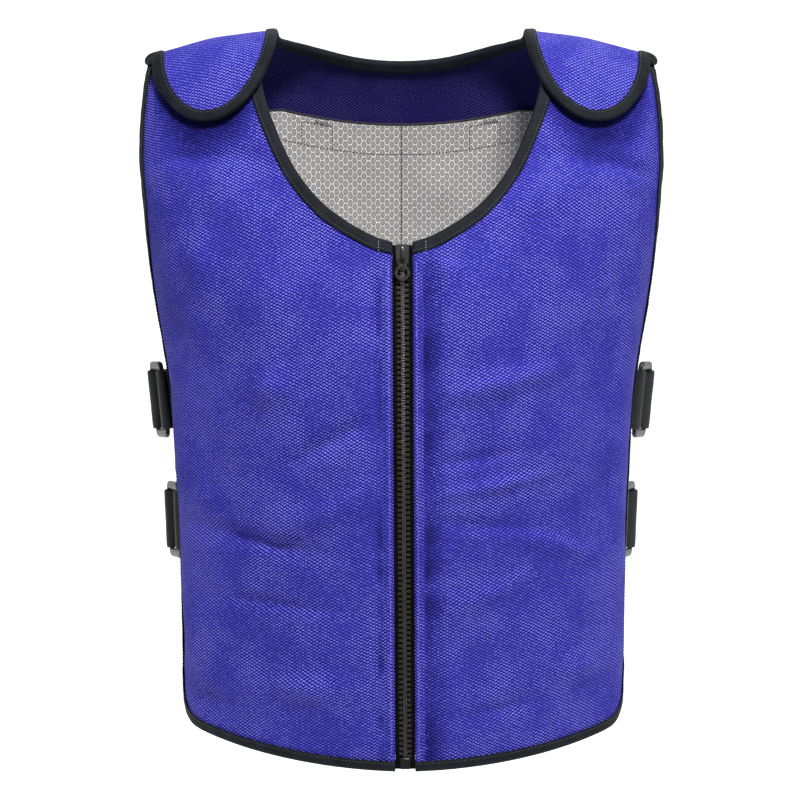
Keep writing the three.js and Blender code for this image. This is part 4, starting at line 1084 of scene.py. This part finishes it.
def woven(name, color, pitch, bump, roughness, shine):
    """A plain weave in the cloth's own UV: threads across and threads along lie over each other in
    turn, so that the height is sin(2 pi u / p) sin(2 pi v / 0.7 p), p being the pitch. Its colour
    follows that height: painted highlight on the raised threads and painted shade on the sunk ones."""
    material, nodes, links, shader = plain_material(name, color, roughness)
    split = nodes.new("ShaderNodeSeparateXYZ")
    links.new(cloth_place(nodes), split.inputs[0])
    waves = []
    for axis, stretch in ((0, 1.0), (1, 0.7)):
        turns = calc(material, "MULTIPLY", split.outputs[axis], 2 * math.pi / (pitch * stretch * MM))
        waves.append(calc(material, "SINE", turns))
    crossed = calc(material, "MULTIPLY", *waves)
    tone = nodes.new("ShaderNodeMapRange")
    tone.inputs["From Min"].default_value = -1.0
    tone.inputs["To Min"].default_value = 0.0
    links.new(crossed, tone.inputs["Value"])
    # Painted highlight and shade: raised threads are coloured lighter, sunk ones darker.
    stops = [(0.0, [0.45 * c for c in color]), (1.0, [1.7 * c for c in color])]
    color_stops(nodes, links, shader, tone.outputs["Result"], stops)
    raise_by(nodes, links, shader, crossed, bump, 0.45)
    shader.inputs["Specular IOR Level"].default_value = shine
    return material


tape_weave = woven("zip_tape_weave", (0.0035, 0.0033, 0.0035), 1.2, 0.5, 0.9, 0.1)
tape_inner = 1.4
tape_slot = ZIP_HALF - 0.05
free_edge = (np.linspace(tape_inner, tape_slot, 7), np.linspace(hem_run, zip_top_run - SEAM_GAP, 150))
sewn_edge = (np.linspace(tape_slot + 0.001, ZIP_HALF + TAPE_REACH, 9),
             np.linspace(hem_run + SEAM_MARGIN, zip_top_run - SEAM_MARGIN, 140))
for side, hand in ((1, "left"), (-1, "right")):
    patches = []
    for columns, runs in (free_edge, sewn_edge):
        across, run = np.meshgrid(columns, runs)
        bend = 0.12 * ripples(across, run, 9, 101 + side)
        uv = MM * np.stack([side * across, run], axis=-1)
        upper = lay(side, across, run, -TAPE_GAP + np.minimum(0.1, bend))
        lower = lay(side, across, run, -TAPE_GAP - TAPE_CLOTH + bend)
        patches.append((upper, lower, uv, side < 0))
    band = cloth_solid(f"zip_band_{hand}", patches, tape_weave)
    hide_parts(f"zip_tape_{hand}")
    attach(band, "vest")


# Zip teeth. Moulded black teeth, each with a broad root on its tape, a narrow neck and a round head
# that locks between the two heads opposite.
TEETH_PITCH = 4.2
TEETH_THICK = 2.8
TEETH_CLEAR = 1.0
SLIDER_LENGTH = 16.0
BOX_LENGTH = 9.0
zip_middle = -TAPE_GAP - TAPE_CLOTH / 2


def zip_frames(run):
    """For each run on the zip: its place, the direction up along it and the direction out of the chest."""
    run = np.atleast_1d(np.asarray(run, float))
    here = lay(1, 0.0, run, zip_middle)
    up = lay(1, 0.0, run + 1, zip_middle) - lay(1, 0.0, run - 1, zip_middle)
    up /= np.linalg.norm(up, axis=-1, keepdims=True)
    right = np.tile([1.0, 0.0, 0.0], (len(run), 1))
    out = np.cross(right, up)
    out /= np.linalg.norm(out, axis=-1, keepdims=True)
    return here, np.cross(up, out), up, out


def resin(name, color, roughness, coat):
    """Moulded plastic with fine uneven spots in its shine."""
    material, nodes, links, shader = plain_material(name, color, roughness)
    shine = nodes.new("ShaderNodeMapRange")
    shine.inputs["To Min"].default_value = roughness - 0.08
    shine.inputs["To Max"].default_value = roughness + 0.10
    links.new(noise(nodes, links, 300.0), shine.inputs["Value"])
    links.new(shine.outputs["Result"], shader.inputs["Roughness"])
    shader.inputs["Coat Weight"].default_value = coat
    shader.inputs["Coat Roughness"].default_value = 0.2
    return material


tooth_resin = resin("tooth_resin", (0.030, 0.026, 0.021), 0.28, 0.3)
TOOTH = np.array([
    # across, along
    (4.9, -1.15), (4.9, 1.15), (2.8, 1.15), (1.6, 0.65), (0.5, 0.65), (-0.2, 1.0), (-1.2, 0.95), (-1.6, 0.4),
    (-1.6, -0.4), (-1.2, -0.95), (-0.2, -1.0), (0.5, -0.65), (1.6, -0.65), (2.8, -1.15),
])
teeth_points, teeth_faces = [], []
teeth_end = zip_top_run - SLIDER_LENGTH / 4 - SEAM_GAP - TEETH_CLEAR
for side, start in ((1, 0.0), (-1, TEETH_PITCH / 2)):
    runs = np.arange(hem_run + BOX_LENGTH + SEAM_GAP + TEETH_CLEAR + start, teeth_end, TEETH_PITCH)
    here, right, up, out = zip_frames(runs)
    middle = TOOTH.mean(axis=0)
    layers = []
    for share, level in ((0.72, 0.5), (1.0, 0.36), (1.0, -0.5)):
        flat = middle + (TOOTH - middle) * share
        layers.append(here[:, None] + MM * (
            side * flat[None, :, :1] * right[:, None]
            + flat[None, :, 1:] * up[:, None]
            + level * TEETH_THICK * out[:, None]
        ))
    count = len(TOOTH)
    points = np.stack(layers, axis=1).reshape(-1, 3)
    one = grid_faces(3, count, closed=True)
    for n in range(len(runs)):
        offset = sum(len(p) for p in teeth_points) + n * 3 * count
        teeth_faces += (one + offset).tolist()
        teeth_faces.append([offset + k for k in range(count)])
        teeth_faces.append([offset + 2 * count + k for k in range(count)][::-1])
    teeth_points.append(points)
teeth = mesh_object("moulded_teeth", np.concatenate(teeth_points), teeth_faces, tooth_resin)
turn_outward(teeth)
teeth.data.polygons.foreach_set("use_smooth", np.zeros(len(teeth.data.polygons), dtype=bool))
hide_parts("zip_teeth")
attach(teeth, "vest")


# Zip slider, pull and box. Two shaped plates run over the teeth and are joined by a wedge above them; an
# arched bridge on the front plate holds the pull, which ends in a ring. The box closes the zip's foot.
SLIDER_HALF = 5.5
SLIDER_PLATE = 1.5
SLIDER_GAP = 0.7
BRIDGE_HALF = 1.1
BRIDGE_INSET = 2.0
BRIDGE_LEG = 1.4
PIN_GAP = 0.45
PULL_LENGTH = 18.5
PULL_HALF = 6.2
PULL_THICK = 1.6
PULL_TOP = 3.4
PULL_WINDOW = 4.4
HOLE_HALF = 3.7
plate_in = TEETH_THICK / 2 + SLIDER_GAP
plate_out = plate_in + SLIDER_PLATE
bridge_reach = SLIDER_LENGTH / 2 - BRIDGE_INSET
slider_resin = resin("slider_resin", (0.011, 0.0105, 0.010), 0.22, 0.35)


def punched(outline, holes, thick, bevel):
    """A flat plate cut to an outline with holes, with rounded rims. Returns the points and faces of a
    filled curve, in millimetres, with its thickness along the third axis."""
    curve = bpy.data.curves.new("plate", "CURVE")
    curve.dimensions = "2D"
    curve.fill_mode = "BOTH"
    curve.extrude = thick / 2 - bevel
    curve.bevel_depth = bevel
    curve.bevel_resolution = 2
    curve.offset = -bevel
    for line in (outline, *holes):
        spline = curve.splines.new("POLY")
        spline.points.add(len(line) - 1)
        flat = np.column_stack([line, np.zeros(len(line)), np.ones(len(line))])
        spline.points.foreach_set("co", flat.ravel())
        spline.use_cyclic_u = True
    holder = bpy.data.objects.new("plate", curve)
    bpy.context.scene.collection.objects.link(holder)
    bpy.context.view_layer.update()
    shown = holder.evaluated_get(bpy.context.evaluated_depsgraph_get())
    mesh = shown.to_mesh()
    points = np.array([v.co[:] for v in mesh.vertices])
    faces = [list(p.vertices) for p in mesh.polygons]
    shown.to_mesh_clear()
    bpy.data.objects.remove(holder)
    bpy.data.curves.remove(curve)
    return points, faces


def arc(x, y, radius, start, end, count):
    """Points on a circle from one angle to another, in degrees."""
    angle = np.radians(np.linspace(start, end, count))
    return np.stack([x + radius * np.cos(angle), y + radius * np.sin(angle)], axis=-1)


def round_box(half_x, half_y, radius, count=5):
    """A rectangle with round corners, as a closed line."""
    x, y = half_x - radius, half_y - radius
    return np.vstack([arc(x, y, radius, 0, 90, count), arc(-x, y, radius, 90, 180, count),
                      arc(-x, -y, radius, 180, 270, count), arc(x, -y, radius, 270, 360, count)])


def on_zip(run, parts, name, node, body):
    """Joins plates into one piece on the zip. A plate's points are (right, up, out) in millimetres."""
    here, right, up, out = (v[0] for v in zip_frames(run))
    points, faces, count = [], [], 0
    for p, f in parts:
        points.append(here + MM * (p[:, :1] * right + p[:, 1:2] * up + p[:, 2:] * out))
        faces += [[count + k for k in face] for face in f]
        count += len(p)
    piece = mesh_object(name, np.concatenate(points), faces, slider_resin)
    crease = piece.modifiers.new("edges", "EDGE_SPLIT")
    crease.split_angle = math.radians(40)
    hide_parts(node)
    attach(piece, body)
    return piece


half_slider = SLIDER_LENGTH / 2
shield = np.vstack([
    arc(SLIDER_HALF - 1.6, half_slider - 1.6, 1.6, 0, 90, 5),
    arc(1.6 - SLIDER_HALF, half_slider - 1.6, 1.6, 90, 180, 5),
    [(-SLIDER_HALF, 1.0)],
    arc(1.2 - SLIDER_HALF * 0.86, 1.2 - half_slider, 1.2, 180, 270, 5),
    arc(SLIDER_HALF * 0.86 - 1.2, 1.2 - half_slider, 1.2, 270, 360, 5),
    [(SLIDER_HALF, 1.0)],
])
slider_parts = []
for way in (-1, 1):
    p, f = punched(shield, (), SLIDER_PLATE, 0.35)
    p[:, 2] += way * (plate_in + plate_out) / 2
    slider_parts.append((p, f))
p, f = punched(round_box(ZIP_TEETH_HALF - 1, SLIDER_LENGTH / 8, 0.6), (), 2 * plate_in + 0.2, 0.05)
p[:, 1] += half_slider - SLIDER_LENGTH / 8
slider_parts.append((p, f))
bridge_in = plate_out + PULL_THICK + 2 * PIN_GAP
arch = np.vstack([
    [(bridge_reach, plate_out - 0.2)],
    arc(bridge_reach - 1.9, bridge_in + BRIDGE_HALF - 1.9, 1.9, 0, 90, 6),
    arc(1.9 - bridge_reach, bridge_in + BRIDGE_HALF - 1.9, 1.9, 90, 180, 6),
    [(-bridge_reach, plate_out - 0.2), (BRIDGE_LEG - bridge_reach, plate_out - 0.2)],
    arc(BRIDGE_LEG - bridge_reach + 0.7, bridge_in - 0.7, 0.7, 180, 90, 4),
    arc(bridge_reach - BRIDGE_LEG - 0.7, bridge_in - 0.7, 0.7, 90, 0, 4),
    [(bridge_reach - BRIDGE_LEG, plate_out - 0.2)],
])
p, f = punched(arch, (), 2 * BRIDGE_HALF, 0.3)
slider_parts.append((p[:, [2, 0, 1]], f))
slider_run = zip_top_run - half_slider
on_zip(slider_run, slider_parts, "slider", "zip_slider", "vest")

pin_up = BRIDGE_LEG + PIN_GAP + PULL_THICK / 2 - bridge_reach
bulb = PULL_HALF - PULL_LENGTH
pull_outline = np.vstack([
    arc(PULL_TOP - 0.7, PULL_THICK / 2 - 0.7, 0.7, 0, 90, 4),
    arc(0.7 - PULL_TOP, PULL_THICK / 2 - 0.7, 0.7, 90, 180, 4),
    [(-PULL_TOP, -PULL_WINDOW - PULL_THICK)],
    arc(0, bulb, PULL_HALF, 0.72 * 180, 2.28 * 180, 40),
    [(PULL_TOP, -PULL_WINDOW - PULL_THICK)],
])
window_half = BRIDGE_HALF + 2 * SEAM_GAP
window = round_box(window_half, PULL_WINDOW / 2, 0.4, 3) - (0, (PULL_THICK + PULL_WINDOW) / 2)
p, f = punched(pull_outline, (window, arc(0, bulb, HOLE_HALF, 0, 351, 40)), PULL_THICK, 0.4)
p[:, 1] += pin_up
p[:, 2] += plate_out + PIN_GAP + PULL_THICK / 2
on_zip(slider_run, [(p, f)], "pull", "zip_pull", "zip_pull")

p, f = punched(round_box(ZIP_TEETH_HALF, BOX_LENGTH / 2, 1.0), (), TEETH_THICK + 2, 0.5)
on_zip(hem_run + BOX_LENGTH / 2, [(p, f)], "foot_box", "zip_box", "vest")


# Side straps. At each side two bands of black webbing leave the front and the back panel and loop
# round the bars of a moulded ring.
UPPER_STRAP = (298.0, 16.0)
LOWER_STRAP = (402.0, 9.0)
WEBBING_WIDTH = 50.0
WEBBING_CLOTH = 1.8
RING_BAR = 4.0
RING_REACH = 26.0
RING_SLACK = 4.0
RING_SWING = math.radians(26.0)
RING_BACK = 30.0
STRAP_HOLD = 11.0
STRAP_BEND = 3.5
STRAP_HEIGHT = -2 * SEAM_GAP - BINDING_CLOTH - BINDING_SLACK - WEBBING_CLOTH / 2
RING_BROAD = 0.85
RING_CORNER = 3.2
ring_way = np.array([math.sin(RING_SWING), math.cos(RING_SWING)])
loop_in = (math.hypot(RING_BAR / 2, RING_BAR / 4) + SEAM_GAP) / math.cos(math.pi / 10)
webbing_weave = woven("webbing_weave", (0.0042, 0.0052, 0.0072), 2.8, 1.0, 0.36, 0.5)
ring_resin = resin("ring_resin", (0.012, 0.0145, 0.018), 0.3, 0.35)


def strap_frame(drop):
    """Where a strap crosses the side line, and its upward direction, which follows the side's slope."""
    run = run_at_drop(drop, False)
    half = WEBBING_WIDTH / 2
    low, middle, high = (float(section(place_at(run + rise))[1]) for rise in (-half, 0.0, half))
    slope = math.atan2(high - low, WEBBING_WIDTH)
    return run, middle, slope


def placed(plan, height, side, drop):
    """Points given by (x, y) in the strap's plan and a height along it, turned to the side's slope."""
    _, middle, slope = strap_frame(drop)
    x = middle + plan[..., 0] * math.cos(slope) + height * math.sin(slope)
    z = -drop - plan[..., 0] * math.sin(slope) + height * math.cos(slope)
    return MM * np.stack([side * x, plan[..., 1] + 0 * x, z], axis=-1)


def webbing_strap(name, node, side, drop, run, bar, seed):
    """A band of webbing: flat behind the panel, straight to the ring, then once round its bar. Its
    section is thinned at the two woven edges."""
    _, half, _ = strap_frame(drop)
    path = []
    for inset in (STRAP_HOLD, 0.0, -STRAP_BEND):
        x, y, _ = lay(side, float(edge_at(run)) - inset, run, STRAP_HEIGHT) / MM
        path.append((side * x - half, y))
    last = np.array(path[-1])
    radius = loop_in + WEBBING_CLOTH / 2
    reach = np.array(bar) - last
    away = np.linalg.norm(reach)
    heading = math.atan2(reach[1], reach[0])
    turn = 1.0 if reach[1] > 0 else -1.0
    tangent = heading + turn * math.asin(min(0.99, radius / away))
    centre_angle = tangent + turn * math.pi / 2
    sweep = centre_angle - turn * np.linspace(0, math.radians(298), 26)
    round_bar = np.array(bar) + radius * np.stack([np.cos(sweep), np.sin(sweep)], axis=-1)
    straight = last + np.linspace(0, 1, 12)[1:-1, None] * (round_bar[0] - last)
    line = np.vstack([smooth_line(np.array(path), 1.2), straight, round_bar])
    ways = np.gradient(line, axis=0)
    ways /= np.linalg.norm(ways, axis=-1, keepdims=True)
    normal = np.stack([ways[:, 1], -ways[:, 0]], axis=-1)
    across = np.array([-1.0, -0.985, -0.93, *np.linspace(-0.85, 0.85, 15), 0.93, 0.985, 1.0])
    thin = np.array([0.25, 0.7, 0.95, *np.ones(15), 0.95, 0.7, 0.25])
    sides = []
    for face in (1, -1):
        steps = np.arange(len(line))[:, None] + 0 * across
        wave = 0.10 * ripples(steps, 25 * across + 0 * line[:, :1], 6, seed)
        plan = line[:, None] + normal[:, None] * (face * WEBBING_CLOTH / 2 * thin + wave)[..., None]
        sides.append(placed(plan, across * WEBBING_WIDTH / 2 + 0 * plan[..., 0], side, drop))
    along = np.concatenate([[0.0], np.cumsum(np.linalg.norm(np.diff(line, axis=0), axis=1))])
    uv = MM * np.stack(np.broadcast_arrays(across * WEBBING_WIDTH / 2, along[:, None]), axis=-1)
    strap = cloth_solid(name, [(sides[0], sides[1], uv, False)], webbing_weave)
    turn_outward(strap)
    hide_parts(node)
    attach(strap, "vest")


def ring(name, node, side, drop, middle):
    """A rectangular ring: a rounded square bar, x^4 + y^4 = r^4, is swept round a box with round
    corners. The bars that the webbing doesn't hold are broader."""
    half_tall = (WEBBING_WIDTH + RING_SLACK + RING_BAR) / 2
    centre = round_box((RING_REACH - RING_BAR) / 2, half_tall, RING_CORNER, 9)
    centre = even_line(np.vstack([centre, centre[:1]]), 1.2)[:-1]
    outward = square_to(centre, True)
    angle = np.linspace(0, 2 * math.pi, 16, endpoint=False)
    reach = RING_BAR / 2 / (np.cos(angle) ** 4 + np.sin(angle) ** 4) ** 0.25
    broad = 1 + RING_BROAD * outward[:, None, 1:] ** 2
    flat = centre[:, None] + outward[:, None] * (reach * np.cos(angle))[:, None] * broad
    depth = reach * np.sin(angle) + 0 * flat[..., 0]
    face = np.array([ring_way[1], -ring_way[0]])
    plan = np.array(middle) + flat[..., :1] * ring_way + depth[..., None] * face
    points = placed(plan, flat[..., 1], side, drop)
    points = np.concatenate([points, points[:1]])
    piece = mesh_object(name, points.reshape(-1, 3), grid_faces(len(points), 16, closed=True), ring_resin)
    weld = bmesh.new()
    weld.from_mesh(piece.data)
    bmesh.ops.remove_doubles(weld, verts=weld.verts, dist=SAME_POINT)
    weld.to_mesh(piece.data)
    weld.free()
    turn_outward(piece)
    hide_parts(node)
    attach(piece, "vest")


for side, hand in ((1, "left"), (-1, "right")):
    for level, (drop, stand) in (("upper", UPPER_STRAP), ("lower", LOWER_STRAP)):
        run = run_at_drop(drop, False)
        back_strap_run = run_at_drop(drop, True)
        middle = np.array([stand, RING_BACK])
        bar_away = (RING_REACH - RING_BAR) / 2 * ring_way
        label = f"{level}_{hand}"
        webbing_strap(f"front_webbing_{label}", f"side_tab_{label}", side, drop, run, middle - bar_away, 111)
        webbing_strap(f"back_webbing_{label}", f"side_strap_{label}", side, drop, back_strap_run,
                      middle + bar_away, 115)
        ring(f"ring_{label}", f"side_ring_{label}", side, drop, middle)
